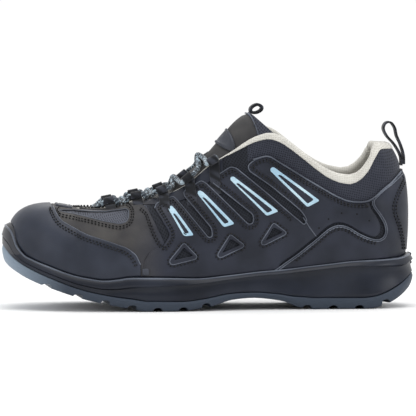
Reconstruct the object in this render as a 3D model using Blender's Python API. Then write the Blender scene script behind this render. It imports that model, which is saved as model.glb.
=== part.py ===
"""Safety sneaker, left shoe, built on the shape of its last.

Metres, +Z up. The toe points to -X, the outer (lateral) side faces -Y and the inner
(medial) side faces +Y. The shoe stands on its sole, and the origin lies under the
middle of its box.
"""

import bisect
import math

import bmesh
import bpy
from mathutils import Vector
from mathutils.geometry import delaunay_2d_cdt

# Whole shoe
LENGTH = 0.300
BALL_WIDTH = 0.098  # last across the ball, at the feather line
HEEL_WIDTH = 0.068  # last across the heel, at the feather line
TOE_HEIGHT = 0.0753
COLLAR_HEIGHT = 0.1247  # front of the collar
HEEL_HEIGHT = 0.1190
MEDIAL_RISE = 0.0035  # the inner ankle stands higher than the outer one

# Upper
WALL = 0.0022
COLLAR_PAD = 0.0075
GAP = 0.0003  # between any two pieces that touch
TOE_FAN = 0.027  # toe reach in front of the crown of the cap
TOE_ROUND = 0.066
HEEL_FAN = 0.037
HEEL_ROUND = 0.040
HEEL_LEAN = 0.0105  # rim ahead of the back of the heel
HEEL_TUCK = 0.0050  # extra inward lean of the rim at the heel's corners
THROAT_WIDTH = 0.050

# Sole
TOE_BUMPER = 0.0077  # rubber in front of the toe
HEEL_RAND = 0.0078  # rubber behind the heel
SIDE_RAND = 0.0052
TOE_SPRING = 0.0328
ARCH_LIFT = 0.0088
HEEL_LIFT = 0.0156
OUTSOLE_THICK = 0.0075
FORE_STACK = 0.0150  # foot above the floor at the ball
HEEL_STACK = 0.0270
RAND_HEIGHT = 0.0095  # sole edge above the feather line
BUMPER_HEIGHT = 0.0170  # extra height of that edge in front of the toe
SCOOP = 0.0030  # hollow of the side wall
PARTING_INSET = 0.0008  # of the line between midsole and outsole
MIDSOLE_LEAST = 0.0030  # midsole under the foot, where the tread turns up
MIDSOLE_LIP = 0.0016  # thickness of the midsole's upper edge
TREAD_TUCK = 0.0030  # walking face inside the widest outline
TREAD_TOP_EDGE = 0.22  # edges of the tread's widest band, in shares of its side's height
TREAD_LOW_EDGE = 0.25
INSOLE_THICK = 0.0045

GROOVE_WIDTH = 0.0066
GROOVE_DEPTH = 0.0030
CHEVRON = 0.006  # the middle of a groove ahead of its ends

# Tongue
TONGUE_WIDTH = 0.052
TONGUE_THICK = 0.0055
TONGUE_THINNING = 0.6  # share of its thickness that it loses at its side edges
TONGUE_ENDS = 0.6  # thickness of its two ends, as a share
TONGUE_TOP_STEP = 0.002  # below its top, where its slope is read
TONGUE_RISE = 0.0177  # top of the tongue above the collar
TONGUE_BACK = 0.026  # wings behind the crown, at the top
TONGUE_DROP = 0.024  # wings below the crown, at the top
TONGUE_BEND = 1.8  # power that bends its section, and what the free part adds
TONGUE_FREE_BEND = 0.9

# Overlays, loops and laces
FILM = 0.0012  # thickness of the films on the upper
FILM_SEAT = 0.0006  # back of a film above the upper, clear of its facets
FILM_STEP = 0.008  # spacing of the points that bend a film
FILM_LOWEST = 0.25 * COLLAR_HEIGHT  # the side films' inner points lie above this
STRAP_WIDTH = 0.0075
STRAP_THICK = 0.0012
STRAP_EDGE = 0.0006  # eye above the throat's rounded edge
STRAP_WRAP = 1.35  # half turns of a strap round the lace
LACE_THICK = 0.0036
LACE_CLEAR = 0.0009  # lace to the straps that hold it
LACE_LIFT = 0.0013  # lace above the tongue
LACE_RUN = 0.0054  # straight run of the lace from the middle of a strap
CROSSING = (0.38, 0.50, 0.62)  # shares of a strand's way where it lies on the tongue
CROSSING_SLOPE = 3.6  # half tongue widths that a strand would pass in its whole way
BAR_AHEAD = 1.9 * LACE_RUN  # front run of the lace ahead of the first straps
BAR_SPREAD = 0.30  # half tongue widths on which the front run lies flat
PULL_WIDTH = 0.010
PULL_THICK = 0.0014
HEEL_PULL_RISE = 0.0155  # top of the heel's pull loop above the rim
TONGUE_PULL_LENGTH = 0.0105
TAB_LENGTH = 0.040 * LENGTH
TAB_THICK = 0.0016

# Places along the shoe
TOE_X = TOE_BUMPER - LENGTH / 2
HEEL_X = LENGTH / 2 - HEEL_RAND
CROWN_X = TOE_X + TOE_FAN
FAN_X = HEEL_X - HEEL_FAN
THROAT_X = -0.327 * LENGTH
TONGUE_FREE = 0.020 * LENGTH  # where the tongue leaves the throat

LATERAL = -1
MEDIAL = 1

# Columns: place, centre line, share of ball width, share of heel width
PLAN = (
    (-0.480, 0.050, 0.450, 0.000),
    (-0.385, 0.040, 0.472, 0.000),
    (-0.300, 0.025, 0.494, 0.000),
    (-0.217, 0.010, 0.500, 0.000),
    (-0.133, -0.010, 0.495, 0.000),
    (-0.033, -0.025, 0.410, 0.050),
    (0.067, -0.020, 0.200, 0.262),
    (0.167, -0.010, 0.070, 0.400),
    (0.267, 0.000, 0.000, 0.493),
    (0.350, 0.000, 0.000, 0.500),
    (0.500, 0.000, 0.000, 0.500),
)

# Columns: place, toe spring, ball stack, heel stack. The feather line of the last
FOOT = (
    (-0.480, 0.660, 1.000, 0.000),
    (-0.400, 0.370, 1.000, 0.000),
    (-0.317, 0.122, 1.000, 0.000),
    (-0.200, 0.000, 1.000, 0.000),
    (-0.067, 0.000, 1.000, 0.000),
    (0.033, 0.000, 0.790, 0.210),
    (0.133, 0.000, 0.500, 0.500),
    (0.267, 0.000, 0.200, 0.800),
    (0.400, 0.000, 0.080, 0.920),
    (0.480, 0.000, 0.000, 1.000),
)

# Columns: place, toe height, collar height, heel height. Ridge, throat edge and rim
TOP = (
    (-0.385, 0.995, 0.000, 0.000),
    (-0.327, 0.960, 0.000, 0.000),
    (-0.267, 0.945, 0.005, 0.000),
    (-0.200, 0.830, 0.105, 0.000),
    (-0.133, 0.560, 0.303, 0.000),
    (-0.067, 0.260, 0.550, 0.000),
    (0.000, 0.060, 0.800, 0.000),
    (0.053, 0.000, 0.912, 0.000),
    (0.083, 0.000, 0.960, 0.000),
    (0.110, 0.000, 0.988, 0.000),
    (0.137, 0.000, 1.000, 0.000),
    (0.163, 0.000, 0.982, 0.000),
    (0.183, 0.000, 0.951, 0.000),
    (0.214, 0.000, 0.896, 0.000),
    (0.255, 0.000, 0.700, 0.128),
    (0.284, 0.000, 0.560, 0.232),
    (0.313, 0.000, 0.430, 0.346),
    (0.336, 0.000, 0.300, 0.478),
    (0.359, 0.000, 0.200, 0.609),
    (0.385, 0.000, 0.100, 0.772),
    (0.408, 0.000, 0.040, 0.907),
    (0.437, 0.000, 0.000, 1.000),
    (0.480, 0.000, 0.000, 1.000),
)

# Columns: place, share of throat width, share of heel width. Half width of the opening
OPENING = (
    (-0.327, 0.000, 0.000),
    (-0.310, 0.170, 0.000),
    (-0.285, 0.250, 0.000),
    (-0.200, 0.320, 0.000),
    (-0.100, 0.360, 0.000),
    (0.000, 0.420, 0.000),
    (0.053, 0.520, 0.000),
    (0.100, 0.440, 0.132),
    (0.150, 0.240, 0.323),
    (0.200, 0.000, 0.520),
    (0.267, 0.000, 0.500),
    (0.350, 0.000, 0.415),
)

# Columns: place, swell above the feather line, its height, reach of the top, its drop,
# padding. They shape the section between feather line and top
SECTION = (
    (-0.480, 0.072, 0.620, 0.960, 0.000, 0.00),
    (-0.385, 0.045, 0.600, 0.800, 0.000, 0.00),
    (-0.300, 0.040, 0.550, 0.730, 0.000, 0.00),
    (-0.200, 0.035, 0.520, 0.620, 0.060, 0.00),
    (-0.100, 0.035, 0.500, 0.520, 0.140, 0.00),
    (0.000, 0.040, 0.420, 0.450, 0.260, 0.00),
    (0.100, 0.050, 0.400, 0.500, 0.330, 0.50),
    (0.200, 0.050, 0.360, 0.800, 0.350, 1.00),
    (0.350, 0.040, 0.350, 1.400, 0.300, 1.00),
    (0.480, 0.035, 0.360, 1.500, 0.160, 1.00),
)

# Columns: place, toe spring, arch lift, heel lift, outsole thickness. Underside and parting
UNDERSIDE = (
    (-0.4995, 1.100, 0.000, 0.000, 1.420),
    (-0.492, 1.000, 0.000, 0.000, 1.350),
    (-0.470, 0.838, 0.000, 0.000, 1.130),
    (-0.433, 0.655, 0.000, 0.000, 1.050),
    (-0.367, 0.430, 0.000, 0.000, 0.920),
    (-0.313, 0.277, 0.000, 0.000, 0.850),
    (-0.247, 0.143, 0.000, 0.000, 0.860),
    (-0.185, 0.037, 0.000, 0.000, 0.970),
    (-0.165, 0.000, 0.000, 0.000, 0.990),
    (-0.083, 0.000, 0.000, 0.000, 0.950),
    (-0.060, 0.000, 0.090, 0.000, 0.870),
    (-0.030, 0.000, 0.250, 0.000, 0.840),
    (0.000, 0.000, 0.400, 0.000, 0.860),
    (0.043, 0.000, 0.860, 0.000, 0.620),
    (0.095, 0.000, 1.000, 0.000, 0.530),
    (0.150, 0.000, 0.820, 0.000, 0.580),
    (0.185, 0.000, 0.530, 0.000, 0.700),
    (0.200, 0.000, 0.260, 0.000, 0.930),
    (0.223, 0.000, 0.110, 0.000, 1.050),
    (0.247, 0.000, 0.000, 0.000, 1.090),
    (0.367, 0.000, 0.000, 0.000, 1.080),
    (0.392, 0.000, 0.000, 0.040, 1.100),
    (0.422, 0.000, 0.000, 0.190, 1.150),
    (0.451, 0.000, 0.000, 0.440, 1.200),
    (0.478, 0.000, 0.000, 0.780, 1.200),
    (0.492, 0.000, 0.000, 1.000, 1.200),
)

# Columns: place, rand height, bumper height. Top edge of the sole above the feather line
RAND = (
    (-0.480, 1.000, 1.000),
    (-0.466, 1.000, 0.760),
    (-0.455, 1.000, 0.150),
    (-0.436, 0.760, 0.000),
    (-0.390, 0.670, 0.000),
    (-0.300, 0.650, 0.000),
    (-0.273, 0.650, 0.000),
    (-0.227, 0.900, 0.000),
    (-0.200, 1.050, 0.000),
    (-0.100, 1.000, 0.000),
    (-0.017, 0.850, 0.000),
    (0.107, 0.780, 0.000),
    (0.170, 0.720, 0.000),
    (0.263, 0.800, 0.000),
    (0.350, 1.000, 0.000),
    (0.443, 1.060, 0.000),
    (0.480, 1.300, 0.000),
)

# Columns: place, height of the crease in the side wall, depth of the hollow below it
CREASE = (
    (-0.480, 0.400, 0.00),
    (-0.290, 0.350, 0.00),
    (-0.229, 0.445, 0.50),
    (-0.180, 0.560, 0.90),
    (-0.117, 0.620, 1.00),
    (-0.040, 0.725, 1.00),
    (0.107, 0.800, 1.00),
    (0.200, 0.840, 1.00),
    (0.300, 0.860, 1.00),
    (0.420, 0.790, 0.80),
    (0.480, 0.660, 0.50),
)

# Columns: place of the crown, toe height, collar height, tongue rise
TONGUE_CREST = (
    (-0.350, 0.885, 0.000, 0.000),
    (-0.310, 0.885, 0.000, 0.000),
    (-0.250, 0.940, 0.000, 0.000),
    (-0.183, 0.860, 0.098, 0.000),
    (-0.133, 0.560, 0.319, 0.000),
    (-0.067, 0.260, 0.593, 0.000),
    (0.000, 0.060, 0.870, 0.000),
    (0.033, 0.000, 0.998, 0.000),
    (0.060, 0.000, 1.000, 0.470),
    (0.097, 0.000, 1.000, 1.000),
)
TONGUE_END = TONGUE_CREST[-1][0] * LENGTH

# Columns: place of the crown, half width, wings back, wings down
TONGUE_SECTION = (
    (-0.350, 0.700, 0.000, 0.180),
    (-0.300, 0.850, 0.000, 0.280),
    (-0.250, 0.960, 0.000, 0.530),
    (-0.183, 1.000, 0.000, 0.450),
    (-0.133, 1.000, 0.000, 0.500),
    (-0.067, 0.960, 0.120, 0.680),
    (0.000, 0.900, 0.380, 0.780),
    (0.033, 0.900, 0.650, 0.900),
    (0.097, 0.920, 1.000, 1.000),
)

# Side wall of the midsole, upwards. Columns: share of the way up to the crease, share of the
# way from it to the top, inset as a share of the parting line's, share of the hollow
SIDE_WALL = (
    (0.00, 0.00, 1.00, 0.0),
    (0.35, 0.00, 0.25, 1.0),
    (0.80, 0.00, 0.50, 1.0),
    (1.00, 0.00, 1.50, 0.4),
    (1.00, 0.10, 1.25, 0.0),
    (1.00, 0.80, 2.75, 0.0),
)

# Where the tread's edge notches lie, as shares of the length
FORE_GROOVES = (-0.393, -0.323, -0.259, -0.196, -0.135, -0.073, -0.016)
HEEL_GROOVES = (0.235, 0.299, 0.362, 0.430)

# Columns: place, share of the toe's height. Top edge of the toe cap, from the crown down
CAP_EDGE = (
    (-0.386, 0.9969),
    (-0.379, 0.9688),
    (-0.372, 0.9025),
    (-0.362, 0.8446),
    (-0.343, 0.8015),
    (-0.300, 0.7171),
    (-0.250, 0.6558),
    (-0.208, 0.5995),
    (-0.187, 0.5382),
    (-0.176, 0.4471),
)

# Columns: place, share of the collar's height, share of the heel's height. Top edge of the
# heel counter, and of the strip up the back
COUNTER_EDGE = (
    (0.165, 0.245, 0.0000),
    (0.204, 0.318, 0.0000),
    (0.250, 0.404, 0.0000),
    (0.277, 0.455, 0.0000),
    (0.297, 0.480, 0.0000),
    (0.313, 0.481, 0.0000),
    (0.331, 0.467, 0.0000),
    (0.354, 0.434, 0.0000),
    (0.376, 0.407, 0.0000),
    (0.391, 0.395, 0.0000),
    (0.414, 0.400, 0.0000),
    (0.424, 0.000, 0.6287),
    (0.440, 0.000, 0.7597),
    (0.469, 0.000, 0.8278),
    (0.480, 0.000, 0.8383),
)

# Columns: place, share of the collar's height. Outline of the side cage, with its open
# slots between the fingers. A height of nothing is the sole's edge
CAGE = (
    (-0.166, 0.000),
    (-0.167, 0.275),
    (-0.150, 0.346),
    (-0.124, 0.366),
    (-0.103, 0.438),
    (-0.137, 0.582),
    (-0.132, 0.606),
    (-0.091, 0.649),
    (-0.083, 0.631),
    (-0.0125, 0.420),
    (-0.003, 0.424),
    (-0.003, 0.471),
    (-0.0645, 0.652),
    (-0.065, 0.675),
    (-0.023, 0.742),
    (-0.0125, 0.728),
    (0.086, 0.494),
    (0.097, 0.503),
    (0.098, 0.550),
    (0.0025, 0.734),
    (0.004, 0.757),
    (0.047, 0.824),
    (0.060, 0.817),
    (0.140, 0.656),
    (0.191, 0.550),
    (0.221, 0.490),
    (0.228, 0.517),
    (0.2145, 0.570),
    (0.183, 0.635),
    (0.140, 0.718),
    (0.0895, 0.803),
    (0.087, 0.833),
    (0.102, 0.866),
    (0.134, 0.893),
    (0.182, 0.822),
    (0.226, 0.756),
    (0.269, 0.696),
    (0.2985, 0.655),
    (0.328, 0.624),
    (0.357, 0.617),
    (0.380, 0.624),
    (0.381, 0.590),
    (0.395, 0.535),
    (0.404, 0.490),
    (0.403, 0.440),
    (0.391, 0.415),
    (0.376, 0.427),
    (0.354, 0.454),
    (0.331, 0.488),
    (0.313, 0.503),
    (0.296, 0.502),
    (0.274, 0.475),
    (0.250, 0.423),
    (0.204, 0.336),
    (0.160, 0.262),
    (0.146, 0.000),
)

# Columns: place behind the heel's rim, height above it, as shares of the pull's rise.
# The two strands of the heel's pull loop, from its seat up and back
HEEL_PULL = (
    (0.640, -1.060),
    (0.600, -0.600),
    (0.310, -0.080),
    (-0.050, 0.330),
    (-0.210, 0.680),
    (-0.100, 0.940),
    (0.140, 0.960),
    (0.330, 0.700),
    (0.410, 0.350),
    (0.600, -0.080),
    (0.740, -0.550),
    (0.760, -1.000),
)

# Columns: place behind the tongue's top, height above it, as shares of the pull's length
TONGUE_PULL = (
    (0.170, -0.020),
    (0.180, 0.190),
    (0.400, 0.390),
    (0.680, 0.460),
    (0.930, 0.300),
    (0.880, 0.080),
    (0.600, -0.080),
    (0.330, -0.100),
)

CAP_STATIONS = (0.083, 0.167, 0.250, 0.417, 0.500)  # extra stations from crown to throat
TAB_SIDES = (0.88, 0.93, 0.97)  # places of the tab's rows on the side, up to the crown
STRAP_FOOT = (0.84, 0.90, 0.95)  # where a lace strap lies on the side, up to its edge
STRAP_TURNS = 8

# Where the lace is held, as shares of the length, from the front up
LACE_ROWS = (-0.240, -0.175, -0.112, -0.048, 0.010)


def line(rows, *sizes):
    """A smooth line through rows of a place and a share of each size, with no overshoot."""
    xs = [row[0] * LENGTH for row in rows]
    ys = [sum(share * size for share, size in zip(row[1:], sizes)) for row in rows]
    gaps = [right - left for left, right in zip(xs, xs[1:])]
    steps = [(b - a) / gap for a, b, gap in zip(ys, ys[1:], gaps)]
    slopes = [steps[0]]
    for before, after, left, right in zip(steps, steps[1:], gaps, gaps[1:]):
        if before * after <= 0:
            slopes.append(0.0)
            continue
        first = 2 * right + left
        second = right + 2 * left
        slopes.append((first + second) / (first / before + second / after))
    slopes.append(steps[-1])

    def at(x):
        x = min(max(x, xs[0]), xs[-1])
        k = min(bisect.bisect_right(xs, x) - 1, len(gaps) - 1)
        t = (x - xs[k]) / gaps[k]
        start = (1 + 2 * t) * (1 - t) ** 2 * ys[k] + t * (1 - t) ** 2 * gaps[k] * slopes[k]
        end = t * t * (3 - 2 * t) * ys[k + 1] + t * t * (t - 1) * gaps[k] * slopes[k + 1]
        return start + end

    return at


def column(rows, index, size=1.0):
    """One column of a table as a line of its own."""
    return line([(row[0], row[index]) for row in rows], size)


plan_centre = column(PLAN, 1, BALL_WIDTH)
half_width = line([(row[0], row[2], row[3]) for row in PLAN], BALL_WIDTH, HEEL_WIDTH)
plan_steps = [k * LENGTH / 400 for k in range(-160, 161)]
most_medial = max(plan_centre(x) + half_width(x) for x in plan_steps if x > TOE_X + TOE_ROUND)
most_lateral = min(plan_centre(x) - half_width(x) for x in plan_steps if x > TOE_X + TOE_ROUND)
MIDDLE = (most_medial + most_lateral) / 2
foot = line(FOOT, TOE_SPRING, FORE_STACK, HEEL_STACK)
top_height = line(TOP, TOE_HEIGHT, COLLAR_HEIGHT, HEEL_HEIGHT)
opening = line(OPENING, THROAT_WIDTH, HEEL_WIDTH)
swell = column(SECTION, 1, BALL_WIDTH)
swell_height = column(SECTION, 2)
top_reach = column(SECTION, 3)
top_drop = column(SECTION, 4)
padding = column(SECTION, 5)
underside = line([row[:4] for row in UNDERSIDE], TOE_SPRING, ARCH_LIFT, HEEL_LIFT)
outsole_depth = column(UNDERSIDE, 4, OUTSOLE_THICK)
rand_rise = line(RAND, RAND_HEIGHT, BUMPER_HEIGHT)
tongue_crest = line(TONGUE_CREST, TOE_HEIGHT, COLLAR_HEIGHT, TONGUE_RISE)
tongue_half = column(TONGUE_SECTION, 1, TONGUE_WIDTH / 2)
tongue_back = column(TONGUE_SECTION, 2, TONGUE_BACK)
tongue_drop = column(TONGUE_SECTION, 3, TONGUE_DROP)
cap_edge = column(CAP_EDGE, 1, TOE_HEIGHT)
counter_edge = line(COUNTER_EDGE, COLLAR_HEIGHT, HEEL_HEIGHT)
crease_share = column(CREASE, 1)
scoop_depth = column(CREASE, 2, SCOOP)


def centre_line(x):
    """The last's curved middle, set so that the widest points lie as far out on both sides."""
    return plan_centre(x) - MIDDLE


def parting(x):
    """Height of the line between midsole and outsole."""
    return underside(x) + outsole_depth(x)


def smooth(t):
    t = min(max(t, 0.0), 1.0)
    return t * t * (3 - 2 * t)


def along(g):
    """Place along the shoe. g runs 0 to 1 round the toe, to 2 down the side, to 3 at the heel."""
    if g < 1:
        return TOE_X + TOE_FAN * (1 - math.cos(g * math.pi / 2))
    if g < 2:
        return CROWN_X + (FAN_X - CROWN_X) * (g - 1)
    return FAN_X + HEEL_FAN * math.sin((g - 2) * math.pi / 2)


def side_place(x):
    """The g of a place on the straight sides."""
    return 1 + (x - CROWN_X) / (FAN_X - CROWN_X)


def place_to_g(x):
    """The g of any place along the shoe."""
    if x < CROWN_X:
        return math.acos(min(1 - (x - TOE_X) / TOE_FAN, 1)) * 2 / math.pi
    if x < FAN_X:
        return side_place(x)
    return 2 + math.asin(min((x - FAN_X) / HEEL_FAN, 1)) * 2 / math.pi


def rounding(x):
    """Share of the half width that the round toe and heel leave."""
    toe = min(max(1 - (x - TOE_X) / TOE_ROUND, 0.0), 1.0)
    heel = min(max(1 - (HEEL_X - x) / HEEL_ROUND, 0.0), 1.0)
    return (1 - toe**2.4) ** (1 / 2.4) * (1 - heel**2.2) ** (1 / 2.2)


def feather(side, g):
    """The last's lower edge. Past the toe or the heel it goes on up the other side."""
    if g < 0:
        return feather(-side, -g)
    if g > 3:
        return feather(-side, 6 - g)
    x = along(g)
    y = centre_line(x) + side * half_width(x) * rounding(x)
    return Vector((x, y, foot(x)))


def outward(side, g):
    """Direction out of the outline, seen from above."""
    step = 0.02
    path = feather(side, g + step) - feather(side, g - step)
    return Vector((-path.y, path.x, 0)).normalized() * side


def section(side, g):
    """The four points of a section's curve, from feather line to top."""
    x = along(g)
    base = feather(side, g)
    height = top_height(x)
    if side == MEDIAL:
        height += MEDIAL_RISE * smooth((x / LENGTH - 0.03) / 0.12) * smooth((0.42 - x / LENGTH) / 0.1)
    if g < 1:
        top = Vector((CROWN_X, centre_line(CROWN_X), top_height(CROWN_X)))
        out = Vector((base.x - top.x, base.y - top.y, 0)).normalized()
    elif g <= 2:
        top = Vector((x, centre_line(x) + side * opening(x), height))
        out = Vector((0, side, 0))
    else:
        out = outward(side, g)
        turn = (g - 2) * math.pi / 2
        lean = half_width(FAN_X) - opening(FAN_X)
        lean += (HEEL_LEAN - lean) * math.sin(turn) ** 2 + HEEL_TUCK * math.sin(2 * turn) ** 2
        top = Vector((base.x, base.y, height)) - out * lean
    width = (Vector((base.x, base.y)) - Vector((top.x, top.y))).length
    rise = top.z - base.z
    lower = base + out * swell(x) + Vector((0, 0, swell_height(x) * rise))
    upper = top + out * top_reach(x) * width - Vector((0, 0, top_drop(x) * rise))
    return base, lower, upper, top


def skin(side, g, v):
    """A point of the upper's outside. v runs 0 at the feather line to 1 at the top."""
    if g < 0:
        return skin(-side, -g, v)
    if g > 3:
        return skin(-side, 6 - g, v)
    a, b, c, d = section(side, g)
    w = 1 - v
    return a * w**3 + b * 3 * w * w * v + c * 3 * w * v * v + d * v**3


def normal(side, g, v):
    """Direction out of the upper at a point of its outside."""
    if v > 0.999 and is_closed(g):
        return Vector((0, 0, 1))
    step = 0.01
    across = skin(side, g, min(v + step, 1)) - skin(side, g, max(v - step, 0))
    path = skin(side, g + step, v) - skin(side, g - step, v)
    if path.length < 1e-5:
        path = feather(side, g + step) - feather(side, g - step)
    return across.cross(path).normalized() * side


def is_closed(g):
    return along(g) <= THROAT_X + 1e-6


def thickness(x, v):
    return WALL + (COLLAR_PAD - WALL) * padding(x) * smooth((v - 0.35) / 0.45)


def shell(side, g, v, lift):
    """A point lifted off the upper's outside along its normal."""
    return skin(side, g, v) + normal(side, g, v) * lift


def v_at_height(side, g, z):
    """Where a section passes a height."""
    low, high = 0.0, 1.0
    for _ in range(24):
        middle = (low + high) / 2
        if skin(side, g, middle).z < z:
            low = middle
        else:
            high = middle
    return (low + high) / 2


def stations():
    """Round the shoe from the toe tip: down the lateral side, round the heel, up the medial side."""
    toe = [k / 8 for k in range(8)]
    vamp = [side_place(CROWN_X + (THROAT_X - CROWN_X) * k / 3) for k in range(3)]
    first = side_place(THROAT_X)
    throat = [first, side_place(THROAT_X + 0.017 * LENGTH)]
    rest = 19
    start = THROAT_X + 0.042 * LENGTH
    sides = [side_place(start + (FAN_X - start) * k / rest) for k in range(rest)]
    heel = [2 + k / 7 for k in range(8)]
    one = toe + vamp + throat + sides + heel
    return [(LATERAL, g) for g in one] + [(MEDIAL, g) for g in one[-2:0:-1]]

RING = stations()
ROWS = (0.0, 0.07, 0.16, 0.27, 0.39, 0.51, 0.63, 0.74, 0.84, 0.93, 1.0)

for old in list(bpy.data.objects):
    bpy.data.objects.remove(old)


def material(name, colour, roughness, metallic=0.0):
    made = bpy.data.materials.new(name)
    made.use_nodes = True
    shader = made.node_tree.nodes["Principled BSDF"]
    shader.inputs["Base Color"].default_value = (*colour, 1)
    shader.inputs["Roughness"].default_value = roughness
    shader.inputs["Metallic"].default_value = metallic
    return made

RUBBER = material("moulded_rubber", (0.055, 0.070, 0.090), 0.62)
FOAM = material("moulded_midsole", (0.034, 0.036, 0.047), 0.60)
FABRIC = material("upper_fabric", (0.030, 0.031, 0.038), 0.85)
CAP = material("toe_cap_film", (0.040, 0.043, 0.055), 0.50)
PANEL = material("side_panel_film", (0.028, 0.031, 0.040), 0.55)
LINING = material("lining_fabric", (0.55, 0.51, 0.44), 0.90)
TONGUE = material("tongue_fabric", (0.085, 0.070, 0.062), 0.88)
WEBBING = material("woven_webbing", (0.020, 0.022, 0.028), 0.80)
LACE = material("flecked_lace", (0.28, 0.28, 0.29), 0.85)


def solid(name, faces, finish):
    """One closed object from faces given as lists of points. Points that meet are joined."""
    index = {}
    points = []
    polygons = []
    for face in faces:
        corners = []
        for point in face:
            key = tuple(round(value * 1e7) for value in point)
            if key not in index:
                index[key] = len(points)
                points.append(point)
            if index[key] not in corners:
                corners.append(index[key])
        if len(corners) > 2:
            polygons.append(corners)
    mesh = bpy.data.meshes.new(name)
    mesh.from_pydata(points, [], polygons)
    work = bmesh.new()
    work.from_mesh(mesh)
    bmesh.ops.triangulate(work, faces=work.faces)
    bmesh.ops.recalc_face_normals(work, faces=work.faces)
    work.to_mesh(mesh)
    work.free()
    mesh.shade_smooth()
    mesh.set_sharp_from_angle(angle=math.radians(40))
    mesh.materials.append(finish)
    made = bpy.data.objects.new(name, mesh)
    bpy.context.scene.collection.objects.link(made)
    return made


def strip(first, second):
    """Triangles between two rows of points, always cut along the same diagonal."""
    faces = []
    for a, b, c, d in zip(first, first[1:], second[1:], second):
        faces.append([a, b, c])
        faces.append([a, c, d])
    return faces


def around(profiles):
    """Faces between each profile and the next one round the shoe."""
    faces = []
    for first, second in zip(profiles, profiles[1:] + profiles[:1]):
        faces += strip(first, second)
    return faces


def across(ring):
    """Faces that close a ring of the shoe by strips from the lateral to the medial side."""
    count = len(ring)
    half = count // 2
    faces = []
    for k in range(half):
        faces.append([ring[k], ring[k + 1], ring[-k - 1], ring[-k % count]])
    return faces


def upper():
    """The hollow upper: outside, rounded rim and inside, open at the collar, throat and underneath."""
    profiles = []
    for side, g in RING:
        x = along(g)
        outer = [skin(side, g, v) for v in ROWS]
        inner = [shell(side, g, v, -thickness(x, v)) for v in ROWS]
        inner[0] = outer[0] - outward(side, g) * WALL
        end = (outer[-1] + inner[-1]) / 2
        reach = (outer[-1] - inner[-1]) / 2
        ahead = (outer[-1] - outer[-2]).normalized() * reach.length
        crest = []
        for k in range(1, 4):
            turn = k * math.pi / 4
            rise = 0 if is_closed(g) else math.sin(turn)
            crest.append(end + reach * math.cos(turn) + ahead * rise)
        profiles.append((outer, [outer[-1]] + crest + [inner[-1]], inner, is_closed(g)))
    faces = []
    for first, second in zip(profiles, profiles[1:] + profiles[:1]):
        faces += strip(first[0], second[0])
        faces += strip(first[2], second[2])
        if not (first[3] and second[3]):
            faces += strip(first[1], second[1])
        faces.append([first[0][0], second[0][0], second[2][0], first[2][0]])
    return solid("upper", faces, FABRIC)


def sole_edge(side, g, inset, z):
    """A point of the sole's side, inset from its widest outline."""
    x = along(g)
    end = TOE_BUMPER if g < 1.5 else HEEL_RAND
    start = 1 - min(g, 3 - g)
    margin = SIDE_RAND + (end - SIDE_RAND) * smooth(start)
    point = feather(side, g) + outward(side, g) * (margin - inset)
    return Vector((point.x, point.y, z(point.x) if callable(z) else z))


def bed(side, g):
    """The top of the tread plate right under the feather line."""
    point = feather(side, g)
    point.z = min(parting(point.x), point.z - MIDSOLE_LEAST)
    return point


def rand_height(side, g):
    x = feather(side, g).x
    return foot(x) + rand_rise(x)


def midsole():
    """The cup that carries the upper: side wall with crease and hollow, inner wall and floor."""
    outside = []
    inside = []
    for side, g in RING:
        base = feather(side, g)
        out = outward(side, g)
        rand = rand_height(side, g)
        low = sole_edge(side, g, PARTING_INSET, parting)
        low.z += GAP
        rise = rand - low.z
        crease = crease_share(low.x)
        hollow = scoop_depth(low.x)
        wall = []
        for below, above, inset, deep in SIDE_WALL:
            level = crease * below + (1 - crease) * above
            tuck = PARTING_INSET * inset + hollow * deep
            wall.append(sole_edge(side, g, tuck, low.z + rise * level))
        edge = v_at_height(side, g, rand)
        inner = [base + out * GAP - Vector((0, 0, GAP))]
        inner += [shell(side, g, min(v, edge), GAP) for v in ROWS[1:]]
        lip = inner[-1]
        outer_lip = shell(side, g, edge, GAP + MIDSOLE_LIP)
        floor = bed(side, g) + Vector((0, 0, GAP))
        outside.append([floor] + wall + [outer_lip, lip])
        inside.append(inner)
    faces = around(outside) + around(inside)
    faces += across([profile[0] for profile in outside])
    faces += across([profile[0] for profile in inside])
    return solid("midsole", faces, FOAM)


def cutter(name, faces):
    """A solid that is only taken away from another."""
    made = solid(name, faces, RUBBER)
    made.hide_render = True
    made.display_type = "WIRE"
    return made


def cut(target, tool):
    modifier = target.modifiers.new(tool.name, "BOOLEAN")
    modifier.operation = "DIFFERENCE"
    modifier.solver = "EXACT"
    modifier.object = tool


def groove(place):
    """One round-topped groove across the tread, bent forward in the middle."""
    x = place * LENGTH
    half = GROOVE_WIDTH / 2
    reach = 0.7 * BALL_WIDTH
    arch = [(-half, -GROOVE_DEPTH)]
    for k in range(5):
        turn = math.pi * (1 - k / 4)
        arch.append((half * math.cos(turn), GROOVE_DEPTH - 0.6 * half * (1 - math.sin(turn))))
    arch.append((half, -GROOVE_DEPTH))
    bend = reach / (BALL_WIDTH / 2 + SIDE_RAND)
    rows = []
    for y, ahead in ((-reach, 1 - bend), (0, 1), (reach, 1 - bend)):
        middle = x - CHEVRON * ahead
        rows.append([Vector((middle + a, y, underside(x) + b)) for a, b in arch])
    faces = [rows[0], rows[-1]]
    for first, second in zip(rows, rows[1:]):
        faces += strip(first + first[:1], second + second[:1])
    return faces


def long_groove(start, end):
    """A groove along the middle of the tread between two places."""
    half = GROOVE_WIDTH / 2
    depth = 0.8 * GROOVE_DEPTH
    count = 8
    rows = []
    for k in range(count + 1):
        x = (start + (end - start) * k / count) * LENGTH
        y = centre_line(x)
        z = underside(x)
        corners = ((-half, -depth), (-0.7 * half, depth), (0.7 * half, depth), (half, -depth))
        rows.append([Vector((x, y + a, z + b)) for a, b in corners])
    faces = [rows[0], rows[-1]]
    for first, second in zip(rows, rows[1:]):
        faces += strip(first + first[:1], second + second[:1])
    return faces


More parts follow.
